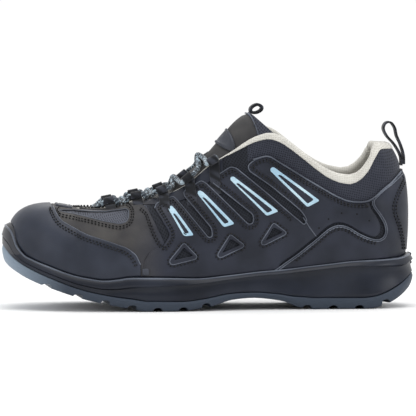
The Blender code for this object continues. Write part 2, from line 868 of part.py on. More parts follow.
def outsole():
    """The tread plate, turned up at the toe and bevelled at the heel, with its grooves cut in."""
    profiles = []
    for side, g in RING:
        top = sole_edge(side, g, PARTING_INSET, parting)
        low = sole_edge(side, g, TREAD_TUCK, underside)
        body = top.z - low.z
        upper_edge = sole_edge(side, g, 0.0, top.z - TREAD_TOP_EDGE * body)
        lower_edge = sole_edge(side, g, 0.4 * TREAD_TUCK, low.z + TREAD_LOW_EDGE * body)
        profiles.append([bed(side, g), top, upper_edge, lower_edge, low])
    faces = around(profiles)
    faces += across([profile[0] for profile in profiles])
    faces += across([profile[-1] for profile in profiles])
    plate = solid("outsole", faces, RUBBER)
    grooves = []
    for place in FORE_GROOVES + HEEL_GROOVES:
        grooves += groove(place)
    cut(plate, cutter("cross_grooves", grooves))
    cut(plate, cutter("fore_groove", long_groove(FORE_GROOVES[0], FORE_GROOVES[-1])))
    cut(plate, cutter("heel_groove", long_groove(HEEL_GROOVES[0], HEEL_GROOVES[-1])))
    return plate


def insole():
    """The loose footbed, from inner wall to inner wall."""
    profiles = []
    for side, g in RING:
        edge = feather(side, g) - outward(side, g) * (WALL + 2 * GAP)
        raised = edge + Vector((0, 0, 0.8 * INSOLE_THICK))
        top = edge - outward(side, g) * 0.3 * INSOLE_THICK
        top.z += INSOLE_THICK
        profiles.append([edge, raised, top])
    faces = around(profiles)
    faces += across([profile[0] for profile in profiles])
    faces += across([profile[-1] for profile in profiles])
    return solid("insole", faces, LINING)


def tongue_front(x, q):
    """A point of the tongue's front. x is the crown's place, q runs -1 to 1 across."""
    free = smooth((x - TONGUE_FREE) / (TONGUE_END - TONGUE_FREE))
    away = abs(q) ** (TONGUE_BEND + TONGUE_FREE_BEND * free)
    y = centre_line(x) + q * tongue_half(x)
    return Vector((x + tongue_back(x) * away, y, tongue_crest(x) - tongue_drop(x) * away))


def tongue_normal(x, q):
    step = 0.001
    path = tongue_front(x + step, q) - tongue_front(x - step, q)
    side = tongue_front(x, q + step) - tongue_front(x, q - step)
    return path.cross(side).normalized()


def tongue():
    """The padded tongue, from under the vamp to its free top, with its wings inside the collar."""
    start = TONGUE_CREST[0][0] * LENGTH
    rows = 16
    columns = 10
    profiles = []
    for k in range(rows + 1):
        x = start + (TONGUE_END - start) * k / rows
        front = []
        back = []
        for j in range(columns + 1):
            q = 2 * j / columns - 1
            depth = TONGUE_THICK * (1 - TONGUE_THINNING * q * q)
            if k in (0, rows):
                depth *= TONGUE_ENDS
            point = tongue_front(x, q)
            front.append(point)
            below = min(x, TONGUE_END - TONGUE_TOP_STEP)
            back.append(point - tongue_normal(below, q) * depth)
        profiles.append(front + back[::-1] + front[:1])
    faces = []
    for first, second in zip(profiles, profiles[1:]):
        faces += strip(first, second)
    for last in (profiles[0], profiles[-1]):
        half = len(last) // 2
        faces += strip(last[:half], last[-2:-half - 2:-1])
    return solid("tongue", faces, TONGUE)


def above_rand(side, g):
    """Where a section leaves the sole, with a film's clearance."""
    return v_at_height(side, g, rand_height(side, g) + 2 * GAP)


def film(name, bottom, top, ring, finish):
    """A film round the toe or heel, between two edges given as the v of each station."""
    outside = []
    inside = []
    for side, g in ring:
        low = bottom(side, g)
        high = max(top(side, g), low + 0.02)
        steps = [min(max(v, low), high) for v in ROWS]
        outside.append([shell(side, g, v, FILM_SEAT + FILM) for v in steps])
        inside.append([shell(side, g, v, FILM_SEAT) for v in steps])
    faces = []
    for k in range(len(ring) - 1):
        faces += strip(outside[k], outside[k + 1])
        faces += strip(inside[k], inside[k + 1])
        for end in (0, -1):
            low_pair = [outside[k][end], inside[k][end]]
            faces += strip(low_pair, [outside[k + 1][end], inside[k + 1][end]])
    for end in (0, -1):
        faces += strip(outside[end], inside[end])
    return solid(name, faces, finish)


def toe_cap():
    """The film over the toe, from the sole's edge to the crown of the cap."""
    end = CAP_EDGE[-1][0] * LENGTH
    one = [g for side, g in RING if side == LATERAL and along(g) < end - FILM_STEP / 2]
    one += [place_to_g(CROWN_X + share * (THROAT_X - CROWN_X)) for share in CAP_STATIONS]
    one.append(place_to_g(end))
    one.sort()
    ring = [(MEDIAL, g) for g in one[::-1]] + [(LATERAL, g) for g in one[1:]]

    def top(side, g):
        return 1.0 if g <= 1 else v_at_height(side, g, cap_edge(along(g)))

    return film("toe_cap", above_rand, top, ring, CAP)


def heel_counter():
    """The film round the heel, with the strip up its back."""
    start = COUNTER_EDGE[0][0] * LENGTH
    one = [place_to_g(start)]
    one += [g for side, g in RING if side == LATERAL and along(g) > start + FILM_STEP / 2]
    ring = [(LATERAL, g) for g in one] + [(MEDIAL, g) for g in one[-2::-1]]

    def top(side, g):
        return v_at_height(side, g, counter_edge(along(g)))

    return film("heel_counter", above_rand, top, ring, PANEL)


def cage(side, name):
    """The film down one side: a plate with a finger up to each pair of lace loops."""
    outline = []
    for (x1, z1), (x2, z2) in zip(CAGE, CAGE[1:] + CAGE[:1]):
        run = math.hypot((x2 - x1) * LENGTH, (z2 - z1) * COLLAR_HEIGHT)
        count = max(1, math.ceil(run / FILM_STEP))
        for k in range(count):
            t = k / count
            x = (x1 + (x2 - x1) * t) * LENGTH
            z = (z1 + (z2 - z1) * t) * COLLAR_HEIGHT
            outline.append(Vector((x, z)))
    points = list(outline)
    edges = [(k, (k + 1) % len(outline)) for k in range(len(outline))]
    left = min(p.x for p in points)
    right = max(p.x for p in points)
    for i in range(int((right - left) / FILM_STEP) + 1):
        for j in range(int(COLLAR_HEIGHT / FILM_STEP) + 1):
            spot = Vector((left + (i + 0.5 * (j % 2)) * FILM_STEP, j * FILM_STEP))
            clear = min((spot - other).length for other in outline)
            if clear > 0.55 * FILM_STEP and spot.y > FILM_LOWEST:
                points.append(spot)
    flat, _, triangles, _, _, _ = delaunay_2d_cdt(points, edges, [], 1, 1e-7)
    outer = []
    inner = []
    for spot in flat:
        g = place_to_g(spot.x)
        v = max(v_at_height(side, g, spot.y), above_rand(side, g))
        outer.append(shell(side, g, v, FILM_SEAT + FILM))
        inner.append(shell(side, g, v, FILM_SEAT))
    faces = []
    border = {}
    for triangle in triangles:
        faces.append([outer[k] for k in triangle])
        faces.append([inner[k] for k in triangle])
        for a, b in zip(triangle, triangle[1:] + triangle[:1]):
            if border.pop((b, a), None) is None:
                border[(a, b)] = True
    for a, b in border:
        faces += strip([outer[a], outer[b]], [inner[a], inner[b]])
    return solid(name, faces, PANEL)


def smooth_path(points, count):
    """Points along a curve that passes through the given ones."""
    path = []
    last = len(points) - 1
    for k in range(count + 1):
        t = k * last / count
        i = min(int(t), last - 1)
        u = t - i
        a = points[max(i - 1, 0)]
        b, c = points[i], points[i + 1]
        d = points[min(i + 2, last)]
        bend = (c - a) * (u - 2 * u**2 + u**3) + (d - b) * (u**3 - u**2)
        path.append(b * (1 - 3 * u**2 + 2 * u**3) + c * (3 * u**2 - 2 * u**3) + bend / 2)
    return path


def sweep(path, wide, sides, closed=False):
    """A rod along a path. Sides are offsets across and out of the path's wide direction."""
    rings = []
    last = len(path) - 1
    for k, point in enumerate(path):
        before = path[k - 1] if closed else path[max(k - 1, 0)]
        after = path[(k + 1) % len(path)] if closed else path[min(k + 1, last)]
        ahead = (after - before).normalized()
        out = ahead.cross(wide).normalized()
        aside = out.cross(ahead)
        rings.append([point + aside * a + out * b for a, b in sides])
    faces = []
    for first, second in zip(rings, rings[1:] + rings[:1] if closed else rings[1:]):
        faces += strip(first + first[:1], second + second[:1])
    if not closed:
        faces += [rings[0], rings[-1]]
    return faces


def band(width, thick):
    """The section of a flat webbing."""
    half, deep = width / 2, thick / 2
    return ((-half, -deep), (half, -deep), (half, deep), (-half, deep))


def cord_section(sides=6):
    turns = [2 * math.pi * k / sides for k in range(sides)]
    return [(LACE_THICK / 2 * math.cos(t), LACE_THICK / 2 * math.sin(t)) for t in turns]


def lace_seat(side, row):
    """Centre of a strap's eye over the throat's edge, with the directions ahead, up and inward."""
    g = side_place(LACE_ROWS[row] * LENGTH)
    step = 0.02
    ahead = (skin(side, g + step, 1) - skin(side, g - step, 1)).normalized()
    up = normal(side, g, 1)
    up = (up - ahead * up.dot(ahead)).normalized()
    reach = LACE_THICK / 2 + LACE_CLEAR + STRAP_THICK + 2 * GAP + STRAP_EDGE
    return skin(side, g, 1) + up * reach, ahead, up, ahead.cross(up) * side


def lace_strap(side, row, name):
    """A webbing strap up to the throat's edge, with an eye round the lace."""
    g = side_place(LACE_ROWS[row] * LENGTH)
    centre, ahead, up, inward = lace_seat(side, row)
    lift = FILM_SEAT + FILM + 3 * GAP + STRAP_THICK / 2
    path = [shell(side, g, v, lift) for v in STRAP_FOOT]
    radius = LACE_THICK / 2 + LACE_CLEAR + STRAP_THICK / 2
    for k in range(STRAP_TURNS):
        turn = math.pi * (STRAP_WRAP * k / (STRAP_TURNS - 1) - 0.5)
        path.append(centre + inward * radius * math.cos(turn) + up * radius * math.sin(turn))
    faces = sweep(path, ahead, band(STRAP_WIDTH, STRAP_THICK))
    return solid(name, faces, WEBBING)


def over_tongue(x, q):
    """Centre of a lace that lies on the tongue."""
    return tongue_front(x, q) + tongue_normal(x, q) * (LACE_THICK / 2 + LACE_LIFT)


def lace_strand(side, row):
    """One strand from a strap's eye over the tongue to the next eye on the other side."""
    start, leave = lace_seat(side, row)[:2]
    end, arrive = lace_seat(-side, row + 1)[:2]
    x1, x2 = LACE_ROWS[row] * LENGTH, LACE_ROWS[row + 1] * LENGTH
    runs = (LACE_CLEAR, 0.5 * STRAP_WIDTH, LACE_RUN)
    points = [start + leave * run for run in runs]
    for share in CROSSING:
        x = x1 + (x2 - x1) * share
        points.append(over_tongue(x, side * (0.5 - share) * CROSSING_SLOPE))
    points += [end - arrive * run for run in runs[::-1]]
    return sweep(smooth_path(points, 16), Vector((0, 0, 1)), cord_section())


def lace_cross(row):
    """Two strands that cross over the tongue, joined where they meet."""
    made = solid(f"lace_cross_{row + 1}", lace_strand(LATERAL, row), LACE)
    other = solid(f"lace_under_{row + 1}", lace_strand(MEDIAL, row), LACE)
    other.hide_render = True
    other.display_type = "WIRE"
    modifier = made.modifiers.new("join", "BOOLEAN")
    modifier.operation = "UNION"
    modifier.solver = "EXACT"
    modifier.object = other
    return made


def lace_bar():
    """The front run of the lace, straight across between the first two eyes."""
    left, left_way = lace_seat(LATERAL, 0)[:2]
    right, right_way = lace_seat(MEDIAL, 0)[:2]
    runs = (LACE_CLEAR, 0.5 * STRAP_WIDTH)
    x = LACE_ROWS[0] * LENGTH - BAR_AHEAD
    points = [left - left_way * run for run in runs]
    lift = Vector((0, 0, LACE_THICK / 2))
    points += [over_tongue(x, q) + lift for q in (-BAR_SPREAD, 0, BAR_SPREAD)]
    points += [right - right_way * run for run in runs[::-1]]
    faces = sweep(smooth_path(points, 16), Vector((0, 0, 1)), cord_section())
    return solid("lace_bar", faces, LACE)


def heel_pull():
    """The webbing loop over the back of the rim."""
    rim = skin(LATERAL, 3, 1)
    path = [rim + Vector((a, 0, b)) * HEEL_PULL_RISE for a, b in HEEL_PULL]
    faces = sweep(path, Vector((0, 1, 0)), band(PULL_WIDTH, PULL_THICK), closed=True)
    return solid("heel_pull", faces, WEBBING)


def tongue_pull():
    """The small loop on the tongue's top edge."""
    top = tongue_front(TONGUE_END, 0)
    path = [top + Vector((a, 0, b)) * TONGUE_PULL_LENGTH for a, b in TONGUE_PULL]
    faces = sweep(path, Vector((0, 1, 0)), band(PULL_WIDTH, 0.7 * PULL_THICK), closed=True)
    return solid("tongue_pull", faces, WEBBING)


def vamp_tab():
    """The small raised tab between the toe cap and the throat."""
    outside = []
    inside = []
    start = THROAT_X - TAB_LENGTH - TAB_THICK
    rows = 4
    for k in range(rows + 1):
        g = place_to_g(start + TAB_LENGTH * k / rows)
        spots = [(LATERAL, g, v) for v in TAB_SIDES]
        spots += [(MEDIAL, g, v) for v in (1.0,) + TAB_SIDES[::-1]]
        outside.append([shell(*spot, FILM_SEAT + TAB_THICK) for spot in spots])
        inside.append([shell(*spot, FILM_SEAT) for spot in spots])
    faces = []
    for k in range(rows):
        faces += strip(outside[k], outside[k + 1]) + strip(inside[k], inside[k + 1])
        for end in (0, -1):
            rim = [outside[k][end], inside[k][end]]
            faces += strip(rim, [outside[k + 1][end], inside[k + 1][end]])
    for end in (0, -1):
        faces += strip(outside[end], inside[end])
    return solid("vamp_tab", faces, CAP)


upper()
midsole()
outsole()
insole()
tongue()
toe_cap()
heel_counter()
cage(LATERAL, "side_cage_lateral")
cage(MEDIAL, "side_cage_medial")
vamp_tab()
for row in range(len(LACE_ROWS)):
    lace_strap(LATERAL, row, f"lace_strap_lateral_{row + 1}")
    lace_strap(MEDIAL, row, f"lace_strap_medial_{row + 1}")
lace_bar()
for row in range(len(LACE_ROWS) - 1):
    lace_cross(row)
heel_pull()
tongue_pull()
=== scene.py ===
"""Safety sneaker, left shoe: fabrics, films, seams, laces, sole finish, camera and light.

Metres, +Z up. The toe points to -X and the outer side faces -Y, as in the part's source.
"""

import bisect
import math

import bmesh
import bpy
import numpy as np
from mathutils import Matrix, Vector
from mathutils.geometry import delaunay_2d_cdt


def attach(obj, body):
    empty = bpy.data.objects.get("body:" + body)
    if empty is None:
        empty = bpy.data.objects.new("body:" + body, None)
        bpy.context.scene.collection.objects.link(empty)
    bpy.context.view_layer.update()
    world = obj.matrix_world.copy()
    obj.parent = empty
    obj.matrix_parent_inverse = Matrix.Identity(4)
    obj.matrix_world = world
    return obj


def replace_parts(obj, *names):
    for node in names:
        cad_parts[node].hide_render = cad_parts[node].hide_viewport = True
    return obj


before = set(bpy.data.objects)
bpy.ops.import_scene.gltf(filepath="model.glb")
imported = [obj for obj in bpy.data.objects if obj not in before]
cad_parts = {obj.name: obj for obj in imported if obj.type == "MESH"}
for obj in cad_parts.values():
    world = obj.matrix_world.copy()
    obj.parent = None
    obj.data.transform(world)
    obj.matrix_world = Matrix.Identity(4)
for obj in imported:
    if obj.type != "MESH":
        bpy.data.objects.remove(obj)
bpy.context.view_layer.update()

# Whole shoe
LENGTH = 0.300
BALL_WIDTH = 0.098  # last across the ball, at the feather line
HEEL_WIDTH = 0.068  # last across the heel, at the feather line
TOE_HEIGHT = 0.0753
COLLAR_HEIGHT = 0.1247  # front of the collar
HEEL_HEIGHT = 0.1190
MEDIAL_RISE = 0.0035  # the inner ankle stands higher than the outer one

# Upper
WALL = 0.0022
COLLAR_PAD = 0.0075
GAP = 0.0003  # between any two pieces that touch
TOE_FAN = 0.027  # toe reach in front of the crown of the cap
TOE_ROUND = 0.066
HEEL_FAN = 0.037
HEEL_ROUND = 0.040
HEEL_LEAN = 0.0105  # rim ahead of the back of the heel
HEEL_TUCK = 0.0050  # extra inward lean of the rim at the heel's corners
THROAT_WIDTH = 0.050

# Sole
TOE_BUMPER = 0.0077  # rubber in front of the toe
HEEL_RAND = 0.0078  # rubber behind the heel
SIDE_RAND = 0.0052
TOE_SPRING = 0.0328
ARCH_LIFT = 0.0088
HEEL_LIFT = 0.0156
OUTSOLE_THICK = 0.0075
FORE_STACK = 0.0150  # foot above the floor at the ball
HEEL_STACK = 0.0270
RAND_HEIGHT = 0.0095  # sole edge above the feather line
BUMPER_HEIGHT = 0.0170  # extra height of that edge in front of the toe
SCOOP = 0.0030  # hollow of the side wall
PARTING_INSET = 0.0008  # of the line between midsole and outsole
MIDSOLE_LEAST = 0.0030  # midsole under the foot, where the tread turns up
INSOLE_THICK = 0.0045

GROOVE_WIDTH = 0.0066
GROOVE_DEPTH = 0.0030
CHEVRON = 0.006  # the middle of a groove ahead of its ends

# Tongue
TONGUE_WIDTH = 0.052
TONGUE_THICK = 0.0055
TONGUE_RISE = 0.0177  # top of the tongue above the collar
TONGUE_BACK = 0.026  # wings behind the crown, at the top
TONGUE_DROP = 0.024  # wings below the crown, at the top

# Overlays, loops and laces
FILM_SEAT = 0.0006  # back of a film above the upper, clear of its facets
STRAP_WIDTH = 0.0075
STRAP_THICK = 0.0012
STRAP_EDGE = 0.0006  # eye above the throat's rounded edge
LACE_THICK = 0.0036
LACE_CLEAR = 0.0009  # lace to the straps that hold it
LACE_LIFT = 0.0013  # lace above the tongue
LACE_RUN = 0.0054  # straight run of the lace from the middle of a strap
PULL_WIDTH = 0.010
PULL_THICK = 0.0014
HEEL_PULL_RISE = 0.0155  # top of the heel's pull loop above the rim
TONGUE_PULL_LENGTH = 0.0105
TAB_LENGTH = 0.0120
TAB_THICK = 0.0016
FILM_BACK = -0.0003  # back of a dressed film, sunk into the fabric so that no gap shows
COUNTER_TURN = -0.0012  # second ridge beside the counter's edge
STUD_SIZE = 0.0048
BADGE_HEIGHT = 0.1245  # middle of the tongue's badge above the floor

# Places along the shoe
TOE_X = TOE_BUMPER - LENGTH / 2
HEEL_X = LENGTH / 2 - HEEL_RAND
CROWN_X = TOE_X + TOE_FAN
FAN_X = HEEL_X - HEEL_FAN
THROAT_X = -0.327 * LENGTH
TONGUE_FREE = 0.020 * LENGTH  # where the tongue leaves the throat
TONGUE_END = 0.097 * LENGTH

# Where small pieces and finishes start and end
STUD_PLACE = (-0.164156, 0.227990)  # shares of the length and of the collar's height
COLLAR_START = 0.085  # share of the length behind which the collar has its own mesh
SIDE_START = -0.155  # share of the length where the vamp's mesh ends
BUMPER_END = TOE_X + 0.004
BUMPER_LOW = 0.040  # height where the toe bumper's own rubber starts
RIM_LINING_LOW = 0.060  # height above which the lining is paler
FILM_TURNS = (-0.062, -0.034)  # where the upper's film turns from grey-brown to blue-black
# The tread's pale toe is a painted highlight, fading out between these two places
TREAD_HIGHLIGHT_TURNS = (-0.150, -0.106)  # where the tread turns from pale to dark

# The vamp's film is welded over the side film in front of this place, between two shares of
# the collar's height
BONDED = (-0.118, 0.235, 0.372)
# The side film is bonded and not sewn here: places from and to, highest share of that height
GLUED = ((-0.168, -0.105, 0.355), (0.13, 1.0, 0.42), (0.19, 1.0, 0.585))

LATERAL = -1
MEDIAL = 1
SIDES = (LATERAL, MEDIAL)
NAMES = {LATERAL: "lateral", MEDIAL: "medial"}

# Columns: place, centre line, share of ball width, share of heel width
PLAN = (
    (-0.48, 0.05, 0.45, 0),
    (-0.385, 0.04, 0.472, 0),
    (-0.3, 0.025, 0.494, 0),
    (-0.217, 0.01, 0.5, 0),
    (-0.133, -0.01, 0.495, 0),
    (-0.033, -0.025, 0.41, 0.05),
    (0.067, -0.02, 0.2, 0.262),
    (0.167, -0.01, 0.07, 0.4),
    (0.267, 0, 0, 0.493),
    (0.35, 0, 0, 0.5),
    (0.5, 0, 0, 0.5),
)

# Columns: place, toe spring, ball stack, heel stack. The feather line of the last
FOOT = (
    (-0.48, 0.66, 1, 0),
    (-0.4, 0.37, 1, 0),
    (-0.317, 0.122, 1, 0),
    (-0.2, 0, 1, 0),
    (-0.067, 0, 1, 0),
    (0.033, 0, 0.79, 0.21),
    (0.133, 0, 0.5, 0.5),
    (0.267, 0, 0.2, 0.8),
    (0.4, 0, 0.08, 0.92),
    (0.48, 0, 0, 1),
)

# Columns: place, toe height, collar height, heel height. Ridge, throat edge and rim
TOP = (
    (-0.385, 0.995, 0, 0),
    (-0.327, 0.96, 0, 0),
    (-0.267, 0.945, 0.005, 0),
    (-0.2, 0.83, 0.105, 0),
    (-0.133, 0.56, 0.303, 0),
    (-0.067, 0.26, 0.55, 0),
    (0, 0.06, 0.8, 0),
    (0.053, 0, 0.912, 0),
    (0.083, 0, 0.96, 0),
    (0.11, 0, 0.988, 0),
    (0.137, 0, 1, 0),
    (0.163, 0, 0.982, 0),
    (0.183, 0, 0.951, 0),
    (0.214, 0, 0.896, 0),
    (0.255, 0, 0.7, 0.128),
    (0.284, 0, 0.56, 0.232),
    (0.313, 0, 0.43, 0.346),
    (0.336, 0, 0.3, 0.478),
    (0.359, 0, 0.2, 0.609),
    (0.385, 0, 0.1, 0.772),
    (0.408, 0, 0.04, 0.907),
    (0.437, 0, 0, 1),
    (0.48, 0, 0, 1),
)

# Columns: place, share of throat width, share of heel width. Half width of the opening
OPENING = (
    (-0.327, 0, 0),
    (-0.31, 0.17, 0),
    (-0.285, 0.25, 0),
    (-0.2, 0.32, 0),
    (-0.1, 0.36, 0),
    (0, 0.42, 0),
    (0.053, 0.52, 0),
    (0.1, 0.44, 0.132),
    (0.15, 0.24, 0.323),
    (0.2, 0, 0.52),
    (0.267, 0, 0.5),
    (0.35, 0, 0.415),
)

# Columns: place, swell above the feather line, its height, reach of the top, its drop,
# padding. They shape the section between feather line and top
SECTION = (
    (-0.48, 0.072, 0.62, 0.96, 0, 0),
    (-0.385, 0.045, 0.6, 0.8, 0, 0),
    (-0.3, 0.04, 0.55, 0.73, 0, 0),
    (-0.2, 0.035, 0.52, 0.62, 0.06, 0),
    (-0.1, 0.035, 0.5, 0.52, 0.14, 0),
    (0, 0.04, 0.42, 0.45, 0.26, 0),
    (0.1, 0.05, 0.4, 0.5, 0.33, 0.5),
    (0.2, 0.05, 0.36, 0.8, 0.35, 1),
    (0.35, 0.04, 0.35, 1.4, 0.3, 1),
    (0.48, 0.035, 0.36, 1.5, 0.16, 1),
)

# Columns: place, toe spring, arch lift, heel lift, outsole thickness. Underside and parting
UNDERSIDE = (
    (-0.4995, 1.1, 0, 0, 1.42),
    (-0.492, 1, 0, 0, 1.35),
    (-0.47, 0.838, 0, 0, 1.13),
    (-0.433, 0.655, 0, 0, 1.05),
    (-0.367, 0.43, 0, 0, 0.92),
    (-0.313, 0.277, 0, 0, 0.85),
    (-0.247, 0.143, 0, 0, 0.86),
    (-0.185, 0.037, 0, 0, 0.97),
    (-0.165, 0, 0, 0, 0.99),
    (-0.083, 0, 0, 0, 0.95),
    (-0.06, 0, 0.09, 0, 0.87),
    (-0.03, 0, 0.25, 0, 0.84),
    (0, 0, 0.4, 0, 0.86),
    (0.043, 0, 0.86, 0, 0.62),
    (0.095, 0, 1, 0, 0.53),
    (0.15, 0, 0.82, 0, 0.58),
    (0.185, 0, 0.53, 0, 0.7),
    (0.2, 0, 0.26, 0, 0.93),
    (0.223, 0, 0.11, 0, 1.05),
    (0.247, 0, 0, 0, 1.09),
    (0.367, 0, 0, 0, 1.08),
    (0.392, 0, 0, 0.04, 1.1),
    (0.422, 0, 0, 0.19, 1.15),
    (0.451, 0, 0, 0.44, 1.2),
    (0.478, 0, 0, 0.78, 1.2),
    (0.492, 0, 0, 1, 1.2),
)

# Columns: place, rand height, bumper height. Top edge of the sole above the feather line
RAND = (
    (-0.48, 1, 1),
    (-0.466, 1, 0.76),
    (-0.455, 1, 0.15),
    (-0.436, 0.76, 0),
    (-0.39, 0.67, 0),
    (-0.3, 0.65, 0),
    (-0.273, 0.65, 0),
    (-0.227, 0.9, 0),
    (-0.2, 1.05, 0),
    (-0.1, 1, 0),
    (-0.017, 0.85, 0),
    (0.107, 0.78, 0),
    (0.17, 0.72, 0),
    (0.263, 0.8, 0),
    (0.35, 1, 0),
    (0.443, 1.06, 0),
    (0.48, 1.3, 0),
)

# Columns: place, height of the crease in the side wall, depth of the hollow below it
CREASE = (
    (-0.48, 0.4, 0),
    (-0.29, 0.35, 0),
    (-0.229, 0.445, 0.5),
    (-0.18, 0.56, 0.9),
    (-0.117, 0.62, 1),
    (-0.04, 0.725, 1),
    (0.107, 0.8, 1),
    (0.2, 0.84, 1),
    (0.3, 0.86, 1),
    (0.42, 0.79, 0.8),
    (0.48, 0.66, 0.5),
)

# Columns: place of the crown, toe height, collar height, tongue rise
TONGUE_CREST = (
    (-0.35, 0.885, 0, 0),
    (-0.31, 0.885, 0, 0),
    (-0.25, 0.94, 0, 0),
    (-0.183, 0.86, 0.098, 0),
    (-0.133, 0.56, 0.319, 0),
    (-0.067, 0.26, 0.593, 0),
    (0, 0.06, 0.87, 0),
    (0.033, 0, 0.998, 0),
    (0.06, 0, 1, 0.47),
    (0.097, 0, 1, 1),
)

# Columns: place of the crown, half width, wings back, wings down
TONGUE_SECTION = (
    (-0.35, 0.7, 0, 0.18),
    (-0.3, 0.85, 0, 0.28),
    (-0.25, 0.96, 0, 0.53),
    (-0.183, 1, 0, 0.45),
    (-0.133, 1, 0, 0.5),
    (-0.067, 0.96, 0.12, 0.68),
    (0, 0.9, 0.38, 0.78),
    (0.033, 0.9, 0.65, 0.9),
    (0.097, 0.92, 1, 1),
)

# Where the tread's edge notches lie, as shares of the length
FORE_GROOVES = (-0.393, -0.323, -0.259, -0.196, -0.135, -0.073, -0.016)
HEEL_GROOVES = (0.235, 0.299, 0.362, 0.430)


# Columns: place, share of the collar's height. Top edge of the toe cap, from the crown down
CAP_EDGE = (
    (-0.386, 0.602), (-0.379, 0.585), (-0.372, 0.545), (-0.362, 0.51), (-0.343, 0.484),
    (-0.3, 0.433), (-0.25, 0.396), (-0.208, 0.362), (-0.187, 0.325), (-0.176, 0.27),
)

# Columns: place, share of the collar's height. Outline of the side cage, with its open
# slots between the fingers. A height of nothing is the sole's edge
CAGE = (
    (-0.166, 0), (-0.167, 0.275), (-0.15, 0.346), (-0.124, 0.366), (-0.103, 0.438),
    (-0.137, 0.582), (-0.132, 0.606), (-0.091, 0.649), (-0.083, 0.631), (-0.0125, 0.42),
    (-0.003, 0.424), (-0.003, 0.471), (-0.0645, 0.652), (-0.065, 0.675), (-0.023, 0.742),
    (-0.0125, 0.728), (0.086, 0.494), (0.097, 0.503), (0.098, 0.55), (0.0025, 0.734),
    (0.004, 0.757), (0.047, 0.824), (0.06, 0.817), (0.14, 0.656), (0.191, 0.55), (0.221, 0.49),
    (0.228, 0.517), (0.2145, 0.57), (0.183, 0.635), (0.14, 0.718), (0.0895, 0.803),
    (0.087, 0.833), (0.102, 0.866), (0.134, 0.893), (0.182, 0.822), (0.226, 0.756),
    (0.269, 0.696), (0.2985, 0.655), (0.328, 0.624), (0.357, 0.617), (0.38, 0.624), (0.381, 0.59),
    (0.395, 0.535), (0.404, 0.49), (0.403, 0.44), (0.391, 0.415), (0.376, 0.427), (0.354, 0.454),
    (0.331, 0.488), (0.313, 0.503), (0.296, 0.502), (0.274, 0.475), (0.25, 0.423), (0.204, 0.336),
    (0.16, 0.262), (0.146, 0),
)

# Columns: place behind the heel's rim, height above it, as shares of the pull's rise.
# The two strands of the heel's pull loop, from its seat up and back
HEEL_PULL = (
    (0.64, -1.06), (0.6, -0.6), (0.31, -0.08), (-0.05, 0.33), (-0.21, 0.68), (-0.1, 0.94),
    (0.14, 0.96), (0.33, 0.7), (0.41, 0.35), (0.6, -0.08), (0.74, -0.55), (0.76, -1),
)

# Columns: place behind the tongue's top, height above it, as shares of the pull's length
TONGUE_PULL = (
    (0.17, -0.02), (0.18, 0.19), (0.4, 0.39), (0.68, 0.46), (0.93, 0.3), (0.88, 0.08),
    (0.6, -0.08), (0.33, -0.1),
)

# Where the lace is held, as shares of the length, from the front up
LACE_ROWS = (-0.240, -0.175, -0.112, -0.048, 0.010)


def line(rows, *sizes):
    """A smooth line through rows of a place and a share of each size, with no overshoot."""
    xs = [row[0] * LENGTH for row in rows]
    ys = [sum(share * size for share, size in zip(row[1:], sizes)) for row in rows]
    gaps = [right - left for left, right in zip(xs, xs[1:])]
    steps = [(b - a) / gap for a, b, gap in zip(ys, ys[1:], gaps)]
    slopes = [steps[0]]
    for before, after, left, right in zip(steps, steps[1:], gaps, gaps[1:]):
        if before * after <= 0:
            slopes.append(0.0)
            continue
        first = 2 * right + left
        second = right + 2 * left
        slopes.append((first + second) / (first / before + second / after))
    slopes.append(steps[-1])

    def at(x):
        x = min(max(x, xs[0]), xs[-1])
        k = min(bisect.bisect_right(xs, x) - 1, len(gaps) - 1)
        t = (x - xs[k]) / gaps[k]
        start = (1 + 2 * t) * (1 - t) ** 2 * ys[k] + t * (1 - t) ** 2 * gaps[k] * slopes[k]
        end = t * t * (3 - 2 * t) * ys[k + 1] + t * t * (t - 1) * gaps[k] * slopes[k + 1]
        return start + end

    return at


def column(rows, index, size=1.0):
    """One column of a table as a line of its own."""
    return line([(row[0], row[index]) for row in rows], size)


plan_centre = column(PLAN, 1, BALL_WIDTH)
half_width = line([(row[0], row[2], row[3]) for row in PLAN], BALL_WIDTH, HEEL_WIDTH)
plan_steps = [k * LENGTH / 400 for k in range(-160, 161)]
most_medial = max(plan_centre(x) + half_width(x) for x in plan_steps if x > TOE_X + TOE_ROUND)
most_lateral = min(plan_centre(x) - half_width(x) for x in plan_steps if x > TOE_X + TOE_ROUND)
MIDDLE = (most_medial + most_lateral) / 2
foot = line(FOOT, TOE_SPRING, FORE_STACK, HEEL_STACK)
top_height = line(TOP, TOE_HEIGHT, COLLAR_HEIGHT, HEEL_HEIGHT)
opening = line(OPENING, THROAT_WIDTH, HEEL_WIDTH)
swell = column(SECTION, 1, BALL_WIDTH)
swell_height = column(SECTION, 2)
top_reach = column(SECTION, 3)
top_drop = column(SECTION, 4)
padding = column(SECTION, 5)
underside = line([row[:4] for row in UNDERSIDE], TOE_SPRING, ARCH_LIFT, HEEL_LIFT)
outsole_depth = column(UNDERSIDE, 4, OUTSOLE_THICK)
rand_rise = line(RAND, RAND_HEIGHT, BUMPER_HEIGHT)
tongue_crest = line(TONGUE_CREST, TOE_HEIGHT, COLLAR_HEIGHT, TONGUE_RISE)
tongue_half = column(TONGUE_SECTION, 1, TONGUE_WIDTH / 2)
tongue_back = column(TONGUE_SECTION, 2, TONGUE_BACK)
tongue_drop = column(TONGUE_SECTION, 3, TONGUE_DROP)
cap_edge = column(CAP_EDGE, 1, COLLAR_HEIGHT)
crease_share = column(CREASE, 1)
scoop_depth = column(CREASE, 2, SCOOP)


def centre_line(x):
    """The last's curved middle, set so that the widest points lie as far out on both sides."""
    return plan_centre(x) - MIDDLE


def parting(x):
    """Height of the line between midsole and outsole."""
    return underside(x) + outsole_depth(x)


def smooth(t):
    t = min(max(t, 0.0), 1.0)
    return t * t * (3 - 2 * t)


